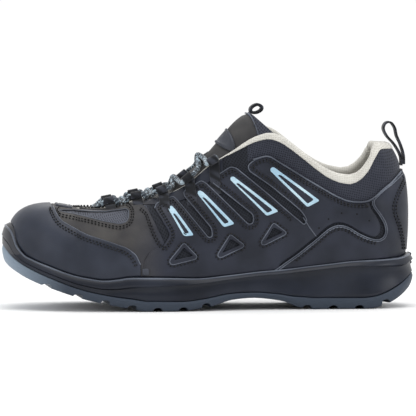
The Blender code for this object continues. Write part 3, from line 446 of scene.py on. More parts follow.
def along(g):
    """Place along the shoe. g runs 0 to 1 round the toe, to 2 down the side, to 3 at the heel."""
    if g < 1:
        return TOE_X + TOE_FAN * (1 - math.cos(g * math.pi / 2))
    if g < 2:
        return CROWN_X + (FAN_X - CROWN_X) * (g - 1)
    return FAN_X + HEEL_FAN * math.sin((g - 2) * math.pi / 2)


def side_place(x):
    """The g of a place on the straight sides."""
    return 1 + (x - CROWN_X) / (FAN_X - CROWN_X)


def place_to_g(x):
    """The g of any place along the shoe."""
    if x < CROWN_X:
        return math.acos(min(1 - (x - TOE_X) / TOE_FAN, 1)) * 2 / math.pi
    if x < FAN_X:
        return side_place(x)
    return 2 + math.asin(min((x - FAN_X) / HEEL_FAN, 1)) * 2 / math.pi


def rounding(x):
    """Share of the half width that the round toe and heel leave."""
    toe = min(max(1 - (x - TOE_X) / TOE_ROUND, 0.0), 1.0)
    heel = min(max(1 - (HEEL_X - x) / HEEL_ROUND, 0.0), 1.0)
    return (1 - toe**2.4) ** (1 / 2.4) * (1 - heel**2.2) ** (1 / 2.2)


def feather(side, g):
    """The last's lower edge. Past the toe or the heel it goes on up the other side."""
    if g < 0:
        return feather(-side, -g)
    if g > 3:
        return feather(-side, 6 - g)
    x = along(g)
    y = centre_line(x) + side * half_width(x) * rounding(x)
    return Vector((x, y, foot(x)))


def outward(side, g):
    """Direction out of the outline, seen from above."""
    step = 0.02
    path = feather(side, g + step) - feather(side, g - step)
    return Vector((-path.y, path.x, 0)).normalized() * side


def section(side, g):
    """The four points of a section's curve, from feather line to top."""
    x = along(g)
    base = feather(side, g)
    height = top_height(x)
    if side == MEDIAL:
        share = x / LENGTH
        height += MEDIAL_RISE * smooth((share - 0.03) / 0.12) * smooth((0.42 - share) / 0.1)
    if g < 1:
        top = Vector((CROWN_X, centre_line(CROWN_X), top_height(CROWN_X)))
        out = Vector((base.x - top.x, base.y - top.y, 0)).normalized()
    elif g <= 2:
        top = Vector((x, centre_line(x) + side * opening(x), height))
        out = Vector((0, side, 0))
    else:
        out = outward(side, g)
        turn = (g - 2) * math.pi / 2
        lean = half_width(FAN_X) - opening(FAN_X)
        lean += (HEEL_LEAN - lean) * math.sin(turn) ** 2 + HEEL_TUCK * math.sin(2 * turn) ** 2
        top = Vector((base.x, base.y, height)) - out * lean
    width = (Vector((base.x, base.y)) - Vector((top.x, top.y))).length
    rise = top.z - base.z
    lower = base + out * swell(x) + Vector((0, 0, swell_height(x) * rise))
    upper = top + out * top_reach(x) * width - Vector((0, 0, top_drop(x) * rise))
    return base, lower, upper, top


def skin(side, g, v):
    """A point of the upper's outside. v runs 0 at the feather line to 1 at the top."""
    if g < 0:
        return skin(-side, -g, v)
    if g > 3:
        return skin(-side, 6 - g, v)
    a, b, c, d = section(side, g)
    w = 1 - v
    return a * w**3 + b * 3 * w * w * v + c * 3 * w * v * v + d * v**3


def normal(side, g, v):
    """Direction out of the upper at a point of its outside."""
    if v > 0.999 and is_closed(g):
        return Vector((0, 0, 1))
    step = 0.01
    across = skin(side, g, min(v + step, 1)) - skin(side, g, max(v - step, 0))
    path = skin(side, g + step, v) - skin(side, g - step, v)
    if path.length < 1e-5:
        path = feather(side, g + step) - feather(side, g - step)
    return across.cross(path).normalized() * side


def is_closed(g):
    return along(g) <= THROAT_X + 1e-6


def thickness(x, v):
    return WALL + (COLLAR_PAD - WALL) * padding(x) * smooth((v - 0.35) / 0.45)


def strip(first, second):
    """Triangles between two rows of points, always cut along the same diagonal."""
    faces = []
    for a, b, c, d in zip(first, first[1:], second[1:], second):
        faces += [[a, b, c], [a, c, d]]
    return faces


def tube(rings, closed=False):
    """Faces through rings of points. The ends are closed, unless the tube meets itself."""
    faces = []
    for first, second in zip(rings, rings[1:] + rings[:1] if closed else rings[1:]):
        faces += strip(first + first[:1], second + second[:1])
    return faces if closed else faces + [rings[0], rings[-1]]


def sheet(outside, inside):
    """Faces of a thin closed sheet, from the grids of its outer and inner points."""
    faces = []
    for out, next_out, back, next_back in zip(outside, outside[1:], inside, inside[1:]):
        faces += strip(out, next_out) + strip(back, next_back)
        for end in (0, -1):
            faces += strip([out[end], back[end]], [next_out[end], next_back[end]])
    for end in (0, -1):
        faces += strip(outside[end], inside[end])
    return faces


def heading(path, k, closed=False):
    """Direction of a path at one of its points."""
    if closed:
        return (path[(k + 1) % len(path)] - path[k - 1]).normalized()
    return (path[min(k + 1, len(path) - 1)] - path[max(k - 1, 0)]).normalized()


def around(profiles):
    """Faces between each profile and the next one round the shoe."""
    faces = []
    for first, second in zip(profiles, profiles[1:] + profiles[:1]):
        faces += strip(first, second)
    return faces


def across(ring):
    """Faces that close a ring of the shoe by strips from the lateral to the medial side."""
    count = len(ring)
    half = count // 2
    faces = []
    for k in range(half):
        faces.append([ring[k], ring[k + 1], ring[-k - 1], ring[-k % count]])
    return faces


def sole_edge(side, g, inset, z):
    """A point of the sole's side, inset from its widest outline."""
    x = along(g)
    end = TOE_BUMPER if g < 1.5 else HEEL_RAND
    start = 1 - min(g, 3 - g)
    margin = SIDE_RAND + (end - SIDE_RAND) * smooth(start)
    point = feather(side, g) + outward(side, g) * (margin - inset)
    return Vector((point.x, point.y, z(point.x) if callable(z) else z))


def bed(side, g):
    """The top of the tread plate right under the feather line."""
    point = feather(side, g)
    point.z = min(parting(point.x), point.z - MIDSOLE_LEAST)
    return point


def rand_height(side, g):
    x = feather(side, g).x
    return foot(x) + rand_rise(x)


def tongue_front(x, q):
    """A point of the tongue's front. x is the crown's place, q runs -1 to 1 across."""
    away = abs(q) ** (1.8 + 0.9 * smooth((x - TONGUE_FREE) / (TONGUE_END - TONGUE_FREE)))
    y = centre_line(x) + q * tongue_half(x)
    return Vector((x + tongue_back(x) * away, y, tongue_crest(x) - tongue_drop(x) * away))


def tongue_normal(x, q):
    step = 0.001
    path = tongue_front(x + step, q) - tongue_front(x - step, q)
    side = tongue_front(x, q + step) - tongue_front(x, q - step)
    return path.cross(side).normalized()


def smooth_path(points, count):
    """Points along a curve that passes through the given ones."""
    path = []
    last = len(points) - 1
    for k in range(count + 1):
        t = k * last / count
        i = min(int(t), last - 1)
        u = t - i
        a = points[max(i - 1, 0)]
        b, c = points[i], points[i + 1]
        d = points[min(i + 2, last)]
        bend = (c - a) * (u - 2 * u**2 + u**3) + (d - b) * (u**3 - u**2)
        path.append(b * (1 - 3 * u**2 + 2 * u**3) + c * (3 * u**2 - 2 * u**3) + bend / 2)
    return path


def sweep(path, wide, sides, closed=False):
    """A rod along a path. Sides are offsets across and out of the path's wide direction."""
    rings = []
    for k, point in enumerate(path):
        ahead = heading(path, k, closed)
        out = ahead.cross(wide).normalized()
        aside = out.cross(ahead)
        rings.append([point + aside * a + out * b for a, b in sides])
    return tube(rings, closed)


def lace_seat(side, row):
    """Centre of a strap's eye over the throat's edge, with the directions ahead, up and inward."""
    g = side_place(LACE_ROWS[row] * LENGTH)
    step = 0.02
    ahead = (skin(side, g + step, 1) - skin(side, g - step, 1)).normalized()
    up = normal(side, g, 1)
    up = (up - ahead * up.dot(ahead)).normalized()
    reach = LACE_THICK / 2 + LACE_CLEAR + STRAP_THICK + 2 * GAP + STRAP_EDGE
    return skin(side, g, 1) + up * reach, ahead, up, ahead.cross(up) * side


def over_tongue(x, q):
    """Centre of a lace that lies on the tongue."""
    return tongue_front(x, q) + tongue_normal(x, q) * (LACE_THICK / 2 + LACE_LIFT)


def lace_strand(side, row):
    """One strand from a strap's eye over the tongue to the next eye on the other side."""
    start, leave = lace_seat(side, row)[:2]
    end, arrive = lace_seat(-side, row + 1)[:2]
    x1, x2 = LACE_ROWS[row] * LENGTH, LACE_ROWS[row + 1] * LENGTH
    runs = (LACE_CLEAR, 0.5 * STRAP_WIDTH, LACE_RUN)
    points = [start + leave * run for run in runs]
    for share in (0.38, 0.50, 0.62):
        x = x1 + (x2 - x1) * share
        points.append(over_tongue(x, side * (0.50 - share) * 3.6))
    points += [end - arrive * run for run in runs[::-1]]
    return points


# The last as a fine grid, for pieces that lie on it
FINE_G = np.linspace(0, 3, 421)
FINE_V = np.linspace(0, 1, 81)


def bezier(points, v):
    """Points of a section's curve at many values of v."""
    a, b, c, d = (np.array(point)[None] for point in points)
    v = v[:, None]
    w = 1 - v
    return a * w**3 + b * 3 * w * w * v + c * 3 * w * v * v + d * v**3


def grid_of(side):
    """Points, directions out and arc lengths of one side of the last."""
    points = np.array([bezier(section(side, g), FINE_V) for g in FINE_G])
    along_g = np.gradient(points, axis=0)
    for end in (0, -1):
        g = FINE_G[end]
        along_g[end] = np.array(feather(side, g + 0.01) - feather(side, g - 0.01))[None]
    crown = points[:, -1]
    along_v = np.gradient(points, axis=1)
    out = np.cross(along_v, along_g) * side
    length = np.linalg.norm(out, axis=2, keepdims=True)
    out = out / np.maximum(length, 1e-12)
    closed = crown[:, 0] <= THROAT_X + 1e-6
    out[closed, -1] = (0, 0, 1)
    steps = np.linalg.norm(np.diff(points, axis=1), axis=2)
    arcs = np.concatenate([np.zeros((len(FINE_G), 1)), np.cumsum(steps, axis=1)], axis=1)
    return points, out, arcs


GRIDS = {side: grid_of(side) for side in SIDES}


def read(side, g, v):
    """Point and direction out at a spot of the fine grid."""
    points, out, _ = GRIDS[side]
    a = min(max(g / 3 * (len(FINE_G) - 1), 0), len(FINE_G) - 1.001)
    b = min(max(v * (len(FINE_V) - 1), 0), len(FINE_V) - 1.001)
    i, j = int(a), int(b)
    s, t = a - i, b - j
    shares = ((1 - s) * (1 - t), s * (1 - t), (1 - s) * t, s * t)
    spots = ((i, j), (i + 1, j), (i, j + 1), (i + 1, j + 1))
    point = sum(share * points[spot] for share, spot in zip(shares, spots))
    ahead = sum(share * out[spot] for share, spot in zip(shares, spots))
    return point, ahead / max(np.linalg.norm(ahead), 1e-9)


def v_of_height(side, g, z):
    """Where a section passes a height, from the fine grid."""
    points = GRIDS[side][0]
    a = min(max(g / 3 * (len(FINE_G) - 1), 0), len(FINE_G) - 1.001)
    i = int(a)
    heights = points[i, :, 2] * (1 - a + i) + points[i + 1, :, 2] * (a - i)
    heights = np.maximum.accumulate(heights)
    return float(np.interp(z, heights, FINE_V))


def arcs_at(side, g):
    """Lengths up a section of the last, at the rows of the fine grid."""
    return GRIDS[side][2][min(int(g / 3 * (len(FINE_G) - 1)), len(FINE_G) - 2)]


def v_below(side, g, d):
    """Where a section lies at a length down from its top."""
    arcs = arcs_at(side, g)
    return float(np.interp(arcs[-1] - d, arcs, FINE_V))


def down(side, x, z):
    """Length along the section from its top down to a height."""
    g = place_to_g(x)
    arcs = arcs_at(side, g)
    return arcs[-1] - float(np.interp(v_of_height(side, g, z), FINE_V, arcs))


# Creases: place and height of both ends as shares, half width in mm, depth in mm
CREASES = (
    (-0.205, 0.545, -0.15, 0.43, 5, -0.9),
    (-0.178, 0.56, -0.128, 0.47, 4, 0.6),
    (-0.262, 0.505, -0.215, 0.4, 5, -0.5),
    (-0.11, 0.42, -0.06, 0.3, 6, -0.5),
    (0.02, 0.56, 0.12, 0.42, 8, -0.4),
    (0.215, 0.42, 0.3, 0.36, 7, -0.5),
    (0.385, 0.7, 0.425, 0.61, 4, -0.7),
    (0.4, 0.78, 0.44, 0.69, 4, 0.5),
)

# Lower seam of the padded collar: place, share of the collar's height
COLLAR_SEAM = (
    (0.1, 0.868), (0.134, 0.893), (0.182, 0.822), (0.226, 0.756), (0.269, 0.696), (0.2985, 0.655),
    (0.328, 0.624), (0.357, 0.617), (0.38, 0.624), (0.409, 0.672), (0.44, 0.735), (0.469, 0.79),
    (0.48, 0.8),
)
collar_seam = column(COLLAR_SEAM, 1, COLLAR_HEIGHT)


def crease(side, point):
    """Soft troughs and ridges of the worn-in upper, and the collar's padded swell."""
    x, z = point[0] / LENGTH, point[2] / COLLAR_HEIGHT
    total = 0.0
    for x1, z1, x2, z2, wide, deep in CREASES:
        run, rise = (x2 - x1) * LENGTH, (z2 - z1) * COLLAR_HEIGHT
        from_x, from_z = (x - x1) * LENGTH, (z - z1) * COLLAR_HEIGHT
        t = min(max((from_x * run + from_z * rise) / (run * run + rise * rise), 0), 1)
        away = math.hypot(from_x - t * run, from_z - t * rise) / (wide / 1000)
        total += deep / 1000 * math.exp(-away * away) * (1.0 if side == LATERAL else 0.8)
    if x > 0.10:
        above = point[2] - collar_seam(point[0])
        total -= 0.0011 * math.exp(-((above / 0.0030) ** 2))
    return total


def linear(code):
    """A hex colour as linear values."""
    values = [int(code[k : k + 2], 16) / 255 for k in (1, 3, 5)]
    return [c / 12.92 if c <= 0.04045 else ((c + 0.055) / 1.055) ** 2.4 for c in values] + [1]


def wire(tree, node, links):
    """Sets a node's inputs. A link is a number, a colour or another node's socket."""
    for name, value in links.items():
        if isinstance(value, bpy.types.NodeSocket):
            tree.links.new(value, node.inputs[name])
        else:
            node.inputs[name].default_value = value


def piece(name, faces, finish, unroll=None, smooth_to=35, finishes=()):
    """A closed mesh from faces given as lists of points, riding on the shoe."""
    index = {}
    points = []
    polygons = []
    slots = []
    for k, face in enumerate(faces):
        corners = []
        for corner in face:
            key = tuple(round(value * 1e6) for value in corner[:3])
            if key not in index:
                index[key] = len(points)
                points.append(tuple(corner)[:3])
            if index[key] not in corners:
                corners.append(index[key])
        if len(corners) > 2:
            polygons.append(corners)
            slots.append(finishes[k] if finishes else 0)
    mesh = bpy.data.meshes.new(name)
    mesh.from_pydata(points, [], polygons)
    work = bmesh.new()
    work.from_mesh(mesh)
    for face, number in zip(work.faces, slots):
        face.material_index = number
    bmesh.ops.recalc_face_normals(work, faces=work.faces)
    if unroll:
        layer = work.loops.layers.uv.new("cloth")
        for face in work.faces:
            for loop in face.loops:
                loop[layer].uv = unroll(loop.vert.co)
    work.to_mesh(mesh)
    work.free()
    return finished(name, mesh, finish, smooth_to)


def finished(name, mesh, finish, smooth_to=35):
    """An object for a mesh, with its finishes, shaded smooth and riding on the shoe."""
    mesh.shade_smooth()
    mesh.set_sharp_from_angle(angle=math.radians(smooth_to))
    for one in finish if isinstance(finish, (list, tuple)) else [finish]:
        mesh.materials.append(one)
    made = bpy.data.objects.new(name, mesh)
    bpy.context.scene.collection.objects.link(made)
    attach(made, "root")
    return made


def unrolled(point):
    """Cloth coordinates in metres: along the shoe, and up its side."""
    return point.x, point.z + 0.35 * abs(point.y)


def add(tree, kind, links=None, tones=(), **settings):
    """One node with its settings and links. Tones are the places and hex colours of a ramp."""
    made = tree.nodes.new(kind)
    for name, value in settings.items():
        setattr(made, name, value)
    for k, (place, colour) in enumerate(tones):
        stops = made.color_ramp.elements
        stop = stops[k] if k < 2 else stops.new(place)
        stop.position = place
        stop.color = linear(colour)
    wire(tree, made, links or {})
    return made


def finish(name, roughness, ior, sheen=0.0):
    """A material with its tree and shader."""
    made = bpy.data.materials.new(name)
    made.use_nodes = True
    tree = made.node_tree
    shader = tree.nodes["Principled BSDF"]
    links = {"Roughness": roughness, "IOR": ior, "Sheen Weight": sheen, "Sheen Roughness": 0.5}
    wire(tree, shader, links)
    return made, tree, shader


def moulded_film(name, dark, light, roughness, grain=0.9, depth=0.05):
    """Polyurethane film on fabric, pressed with a fine grain: a soft low sheen."""
    made, tree, shader = finish(name, roughness, 1.38)
    where = add(tree, "ShaderNodeTexCoord").outputs["Object"]
    noise = []
    for size, detail in ((26, 2.0), (grain, 4.0), (7, 3.0)):
        links = {"Vector": where, "Scale": 1000 / size, "Detail": detail}
        noise.append(add(tree, "ShaderNodeTexNoise", links).outputs["Fac"])
    tones = ((0.38, dark), (0.66, light))
    colour = add(tree, "ShaderNodeValToRGB", {"Fac": noise[0]}, tones).outputs["Color"]
    bump = add(tree, "ShaderNodeBump", {"Height": noise[1], "Distance": depth / 1000})
    links = {"Value": noise[2], "To Min": roughness - 0.07, "To Max": roughness + 0.10}
    wear = add(tree, "ShaderNodeMapRange", links).outputs["Result"]
    links = {"Base Color": colour, "Normal": bump.outputs["Normal"], "Roughness": wear}
    wire(tree, shader, links)
    return made


def knitted(name, dark, light, pitch, depth=0.18, turn=0.0, low=0.12, high=0.42, sheen=0.1):
    """Spacer mesh: a dark eye between paler threads. Pitch in mm, drawn as coarse as it shows."""
    made, tree, shader = finish(name, 0.88, 1.33, sheen)
    cloth = add(tree, "ShaderNodeUVMap", uv_map="cloth").outputs["UV"]
    links = {"Vector": cloth, "Rotation": (0, 0, math.radians(turn))}
    placed = add(tree, "ShaderNodeMapping", links).outputs["Vector"]
    links = {"Vector": placed, "Scale": 1000 / pitch, "Randomness": 0.15}
    eyes = add(tree, "ShaderNodeTexVoronoi", links, voronoi_dimensions="2D").outputs["Distance"]
    tones = ((low, dark), (high, light))
    colour = add(tree, "ShaderNodeValToRGB", {"Fac": eyes}, tones).outputs["Color"]
    where = add(tree, "ShaderNodeTexCoord").outputs["Object"]
    links = {"Vector": where, "Scale": 1000 / 14, "Detail": 3.0}
    broad = add(tree, "ShaderNodeTexNoise", links).outputs["Fac"]
    links = {"Value": broad, "To Min": 0.75, "To Max": 1.2}
    shade = add(tree, "ShaderNodeMapRange", links).outputs["Result"]
    links = {0: colour, "Scale": shade}
    mixed = add(tree, "ShaderNodeVectorMath", links, operation="SCALE").outputs["Vector"]
    bump = add(tree, "ShaderNodeBump", {"Height": eyes, "Distance": depth / 1000})
    wire(tree, shader, {"Base Color": mixed, "Normal": bump.outputs["Normal"]})
    return made


def woven(name, dark, light, pitch, depth=0.12, sheen=0.15):
    """Plain weave of warp and weft, such as webbing."""
    made, tree, shader = finish(name, 0.84, 1.33, sheen)
    cloth = add(tree, "ShaderNodeUVMap", uv_map="cloth").outputs["UV"]
    links = {"Vector": cloth, "Scale": 1000 / pitch / 20, "Distortion": 0.6, "Detail": 1.0}
    warp = add(tree, "ShaderNodeTexWave", links, bands_direction="X").outputs["Fac"]
    weft = add(tree, "ShaderNodeTexWave", links, bands_direction="Y").outputs["Fac"]
    both = add(tree, "ShaderNodeMath", {0: warp, 1: weft}, operation="MULTIPLY").outputs["Value"]
    tones = ((0.05, dark), (0.65, light))
    colour = add(tree, "ShaderNodeValToRGB", {"Fac": both}, tones).outputs["Color"]
    bump = add(tree, "ShaderNodeBump", {"Height": both, "Distance": depth / 1000})
    wire(tree, shader, {"Base Color": colour, "Normal": bump.outputs["Normal"]})
    return made


def moulded_rubber(name, dark, light, roughness, grain, depth):
    """Injection-moulded rubber or polyurethane, eroded to a matt grain, with dust in it."""
    made, tree, shader = finish(name, roughness, 1.36)
    where = add(tree, "ShaderNodeTexCoord").outputs["Object"]
    noise = []
    for size, detail in ((30, 3.0), (grain, 5.0), (9, 2.0)):
        links = {"Vector": where, "Scale": 1000 / size, "Detail": detail}
        noise.append(add(tree, "ShaderNodeTexNoise", links).outputs["Fac"])
    tones = ((0.35, dark), (0.7, light))
    colour = add(tree, "ShaderNodeValToRGB", {"Fac": noise[0]}, tones).outputs["Color"]
    fine = add(tree, "ShaderNodeBump", {"Height": noise[1], "Distance": depth / 1000})
    links = {"Height": noise[2], "Distance": depth * 1.5 / 1000, "Normal": fine.outputs["Normal"]}
    bump = add(tree, "ShaderNodeBump", links)
    wire(tree, shader, {"Base Color": colour, "Normal": bump.outputs["Normal"]})
    return made


def upper_film(name, roughness, grain, depth):
    """Film of the upper: grey-brown over the toes, turning blue-black behind the first slot."""
    made = moulded_film(name, "#1a1e29", "#272b38", roughness, grain, depth)
    tree = made.node_tree
    base = tree.nodes["Principled BSDF"].inputs["Base Color"]
    where = add(tree, "ShaderNodeTexCoord").outputs["Object"]
    place = add(tree, "ShaderNodeSeparateXYZ", {"Vector": where}).outputs["X"]
    links = {"Value": place, "From Min": FILM_TURNS[0], "From Max": FILM_TURNS[1]}
    back = add(tree, "ShaderNodeMapRange", links).outputs["Result"]
    links = {"Vector": where, "Scale": 1000 / 18, "Detail": 3.0}
    dust = add(tree, "ShaderNodeTexNoise", links).outputs["Fac"]
    tones = ((0.36, "#353436"), (0.68, "#484644"))
    toes = add(tree, "ShaderNodeValToRGB", {"Fac": dust}, tones).outputs["Color"]
    links = {0: back, 6: toes, 7: base.links[0].from_socket}
    both = add(tree, "ShaderNodeMix", links, data_type="RGBA")
    tree.links.new(both.outputs[2], base)
    return made


# Toe cap: polyurethane film pressed over the toe, charcoal, with the broadest highlight
TOE_FILM = moulded_film("pressed_toe_film", "#232834", "#2f3441", 0.46, 1.0, 0.06)
# Side and heel: thin film welded to the mesh, blue-black and matt
SIDE_FILM = upper_film("pressed_side_film", 0.54, 0.9, 0.05)
# Vamp: film with a brushed nap, brown-grey, hardly any highlight
VAMP_FILM = upper_film("brushed_vamp_film", 0.66, 0.7, 0.07)
# Tongue: the same nap over padding, paler and warmer
TONGUE_FILM = moulded_film("brushed_tongue_cover", "#343436", "#4b4a4a", 0.68, 0.8, 0.07)
# Badge and studs: moulded polyurethane, smoother than the film round them
BADGE = moulded_film("moulded_badge", "#2e3139", "#41454f", 0.45, 1.2, 0.05)
# Small triangles: reflective film, pale blue with a fine grain
PALE_FILM = moulded_film("reflective_pale_film", "#9dbfd4", "#c3dde9", 0.38, 1.1, 0.03)
# Knitted spacer meshes of polyester, matt, darkest at the side
VAMP_MESH = knitted("vamp_spacer_mesh", "#23252d", "#565963", 1.1, 0.14, 35)
SIDE_MESH = knitted("side_spacer_mesh", "#0d0f14", "#23262e", 1.7, 0.22, 30)
COLLAR_MESH = knitted("collar_spacer_mesh", "#14161d", "#343742", 1.6, 0.16, 12)
TONGUE_MESH = knitted("tongue_edge_mesh", "#202229", "#454853", 1.6, 0.18, 40)
# Brushed knits of the inside: pale and soft, with a light sheen
LINING_KNIT = knitted("lining_knit", "#a3a099", "#cac7c0", 1.5, 0.08, 0, 0.02, 0.5, 0.3)
RIM_LINING = knitted("rim_lining", "#b6b3ab", "#d4d2cb", 1.3, 0.06, 0, 0.02, 0.5, 0.3)
FOOTBED_KNIT = knitted("footbed_knit", "#6d6961", "#918c83", 1.5, 0.06, 0, 0.02, 0.5, 0.2)
# Folded film edges and piping: fine cords whose paler colour is a painted highlight along the
# edges
EDGE_HIGHLIGHT_CORD = moulded_film("film_edge_painted_highlight", "#454a55", "#666c78", 0.42, 0.8, 0.03)
# Nylon webbing in a plain weave: near black, with a faint grey of yarns
DARK_WEBBING = woven("nylon_webbing", "#14161b", "#343740", 1.1, 0.14)
# Injected polyurethane with a smooth skin: a soft gloss, and a paler lip whose colour is a painted
# highlight
MIDSOLE = moulded_rubber("moulded_midsole_foam", "#161a24", "#222733", 0.36, 0.8, 0.03)
BUMPER = moulded_rubber("moulded_toe_bumper", "#303136", "#434449", 0.42, 0.8, 0.04)
LIP_HIGHLIGHT = moulded_rubber("sole_lip_painted_highlight", "#4a505c", "#666d79", 0.32, 0.8, 0.02)


def flecked_lace():
    """Round braid of silver and black yarns: pale flecks on a dark ground."""
    made, tree, shader = finish("flecked_round_braid", 0.72, 1.45, 0.2)
    cloth = add(tree, "ShaderNodeUVMap", uv_map="cloth").outputs["UV"]
    links = {"Vector": cloth, "Scale": 1000 / 1.3, "Randomness": 0.9}
    yarns = add(tree, "ShaderNodeTexVoronoi", links, voronoi_dimensions="2D").outputs
    split = add(tree, "ShaderNodeSeparateColor", {"Color": yarns["Color"]}).outputs["Red"]
    tones = ((0.35, "#1c2129"), (0.85, "#a3b4bf"), (0.55, "#535e69"))
    colour = add(tree, "ShaderNodeValToRGB", {"Fac": split}, tones).outputs["Color"]
    bump = add(tree, "ShaderNodeBump", {"Height": yarns["Distance"], "Distance": 0.25 / 1000})
    wire(tree, shader, {"Base Color": colour, "Normal": bump.outputs["Normal"]})
    return made


def tread_rubber():
    """Moulded blue-grey outsole rubber, paler where the toe lifts off the floor as a painted
    highlight.
    """
    made, tree, shader = finish("moulded_tread_rubber", 0.58, 1.38)
    where = add(tree, "ShaderNodeTexCoord").outputs["Object"]
    # Painted highlight: the rubber turns paler towards the lifted toe
    place = add(tree, "ShaderNodeSeparateXYZ", {"Vector": where}).outputs["X"]
    links = {"Value": place, "From Min": TREAD_HIGHLIGHT_TURNS[0], "From Max": TREAD_HIGHLIGHT_TURNS[1]}
    toe = add(tree, "ShaderNodeMapRange", links).outputs["Result"]
    tones = ((0.0, "#8493a2"), (1.0, "#343d4a"))
    links = {"Base Color": add(tree, "ShaderNodeValToRGB", {"Fac": toe}, tones).outputs["Color"]}
    for size, detail, depth in ((0.9, 5.0, 0.06), (8, 2.0, 0.1)):
        grain = {"Vector": where, "Scale": 1000 / size, "Detail": detail}
        height = add(tree, "ShaderNodeTexNoise", grain).outputs["Fac"]
        relief = {"Height": height, "Distance": depth / 1000}
        if "Normal" in links:
            relief["Normal"] = links["Normal"]
        links["Normal"] = add(tree, "ShaderNodeBump", relief).outputs["Normal"]
    wire(tree, shader, links)
    return made


LACE_BRAID = flecked_lace()
TREAD = tread_rubber()


def sewing_thread(name, dark, light):
    """Bonded polyester thread of two plies: a painted satin glint on them, and painted shade in
    the dark gaps between them.
    """
    made, tree, shader = finish(name, 0.50, 1.4)
    where = add(tree, "ShaderNodeTexCoord").outputs["Object"]
    links = {"Vector": where, "Scale": 1000 / 0.9 / 20, "Distortion": 1.5, "Detail": 2.0}
    plies = add(tree, "ShaderNodeTexWave", links, bands_direction="DIAGONAL").outputs["Fac"]
    # Paler tone: painted glint on the plies. Darker tone: painted shade between them
    tones = ((0.2, dark), (0.8, light))
    colour = add(tree, "ShaderNodeValToRGB", {"Fac": plies}, tones).outputs["Color"]
    bump = add(tree, "ShaderNodeBump", {"Height": plies, "Distance": 0.08 / 1000})
    wire(tree, shader, {"Base Color": colour, "Normal": bump.outputs["Normal"]})
    return made


DARK_THREAD = sewing_thread("dark_sewing_thread", "#030304", "#101114")
# Near-black discs over the punched holes: painted shade inside them
PUNCHED_HOLE_SHADE = moulded_film("punched_hole_painted_shade", "#050608", "#0b0c0f", 0.8, 0.8, 0.05)


FINE_RING = [(LATERAL, 3 * k / 150) for k in range(151)]
FINE_RING += [(MEDIAL, 3 * k / 150) for k in range(149, 0, -1)]
FINE_ROWS = [k / 36 for k in range(37)]


def last_point(side, g, v, lift):
    """A point of the worn-in last, lifted off it."""
    point, out = read(side, g, v)
    return Vector(point + out * (lift + crease(side, point)))


def laid_sheet(name, rows, back, finish, unroll=None, smooth_to=50):
    """A thin sheet on the last, from rows of side, g, v and lift, and the lift of its back."""
    outside = [[last_point(*spot) for spot in row] for row in rows]
    inside = [[last_point(side, g, v, back) for side, g, v, _ in row] for row in rows]
    return piece(name, sheet(outside, inside), finish, unroll, smooth_to)


def fabric_zone(point):
    """Vamp mesh in front of the fingers, side mesh behind, collar mesh above the collar's seam."""
    x = point.x / LENGTH
    if x > COLLAR_START and point.z > collar_seam(point.x) - 0.001:
        return 2
    return 1 if x > SIDE_START else 0


def upper_fabric():
    """The hollow upper: mesh outside, rolled rim and lining inside."""
    profiles = []
    for side, g in FINE_RING:
        x = along(g)
        outer = [last_point(side, g, v, 0.0) for v in FINE_ROWS]
        inner = []
        for v in FINE_ROWS:
            point, out = read(side, g, v)
            inner.append(Vector(point - out * thickness(x, v)))
        inner[0] = outer[0] - outward(side, g) * WALL
        end = (outer[-1] + inner[-1]) / 2
        reach = (outer[-1] - inner[-1]) / 2
        ahead = (outer[-1] - outer[-2]).normalized() * reach.length
        crest = []
        for k in range(1, 10):
            turn = k * math.pi / 10
            rise = 0 if is_closed(g) else math.sin(turn)
            crest.append(end + reach * math.cos(turn) + ahead * rise)
        profiles.append((outer, [outer[-1]] + crest + [inner[-1]], inner, is_closed(g)))
    faces = []
    zones = []
    for first, second in zip(profiles, profiles[1:] + profiles[:1]):
        rows = strip(first[0], second[0])
        faces += rows
        zones += [fabric_zone(sum(row, Vector()) / len(row)) for row in rows]
        rows = strip(first[2], second[2])
        faces += rows
        zones += [4 if row[0].z > RIM_LINING_LOW else 3 for row in rows]
        if not (first[3] and second[3]):
            rows = strip(first[1], second[1])
            faces += rows
            zones += [4] * len(rows)
        faces.append([first[0][0], second[0][0], second[2][0], first[2][0]])
        zones.append(3)
    cloth = (VAMP_MESH, SIDE_MESH, COLLAR_MESH, LINING_KNIT, RIM_LINING)
    made = piece("upper_fabric", faces, cloth, unrolled, 50, zones)
    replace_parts(made, "upper")


def sole_wall(side, g):
    """One section of the midsole's outside: parting line, hollow, crease, rounded edge."""
    low = sole_edge(side, g, PARTING_INSET, parting)
    low.z += GAP
    rise = rand_height(side, g) - low.z
    edge = crease_share(low.x)
    hollow = scoop_depth(low.x)
    levels = [(0.0, PARTING_INSET + 0.0006), (0.03 * edge, PARTING_INSET)]
    for k in range(1, 12):
        share = k / 12
        depth = 0.0002 + hollow * math.sin(math.pi * min(share * 0.62, 1)) ** 1.3
        levels.append((share * edge, depth))
    levels += [(edge * 0.985, 0.0017 + 0.45 * hollow), (edge, 0.0019 + 0.35 * hollow)]
    rounded_off = ((0.02, 0.0004), (0.07, 0.0), (0.16, 0.0), (0.30, 0.0004), (0.60, 0.0012))
    rounded_off += ((0.80, 0.0021), (0.93, 0.0030), (0.99, 0.0040))
    levels += [(edge + share * (1 - edge), inset) for share, inset in rounded_off]
    return [sole_edge(side, g, inset, low.z + rise * level) for level, inset in levels]


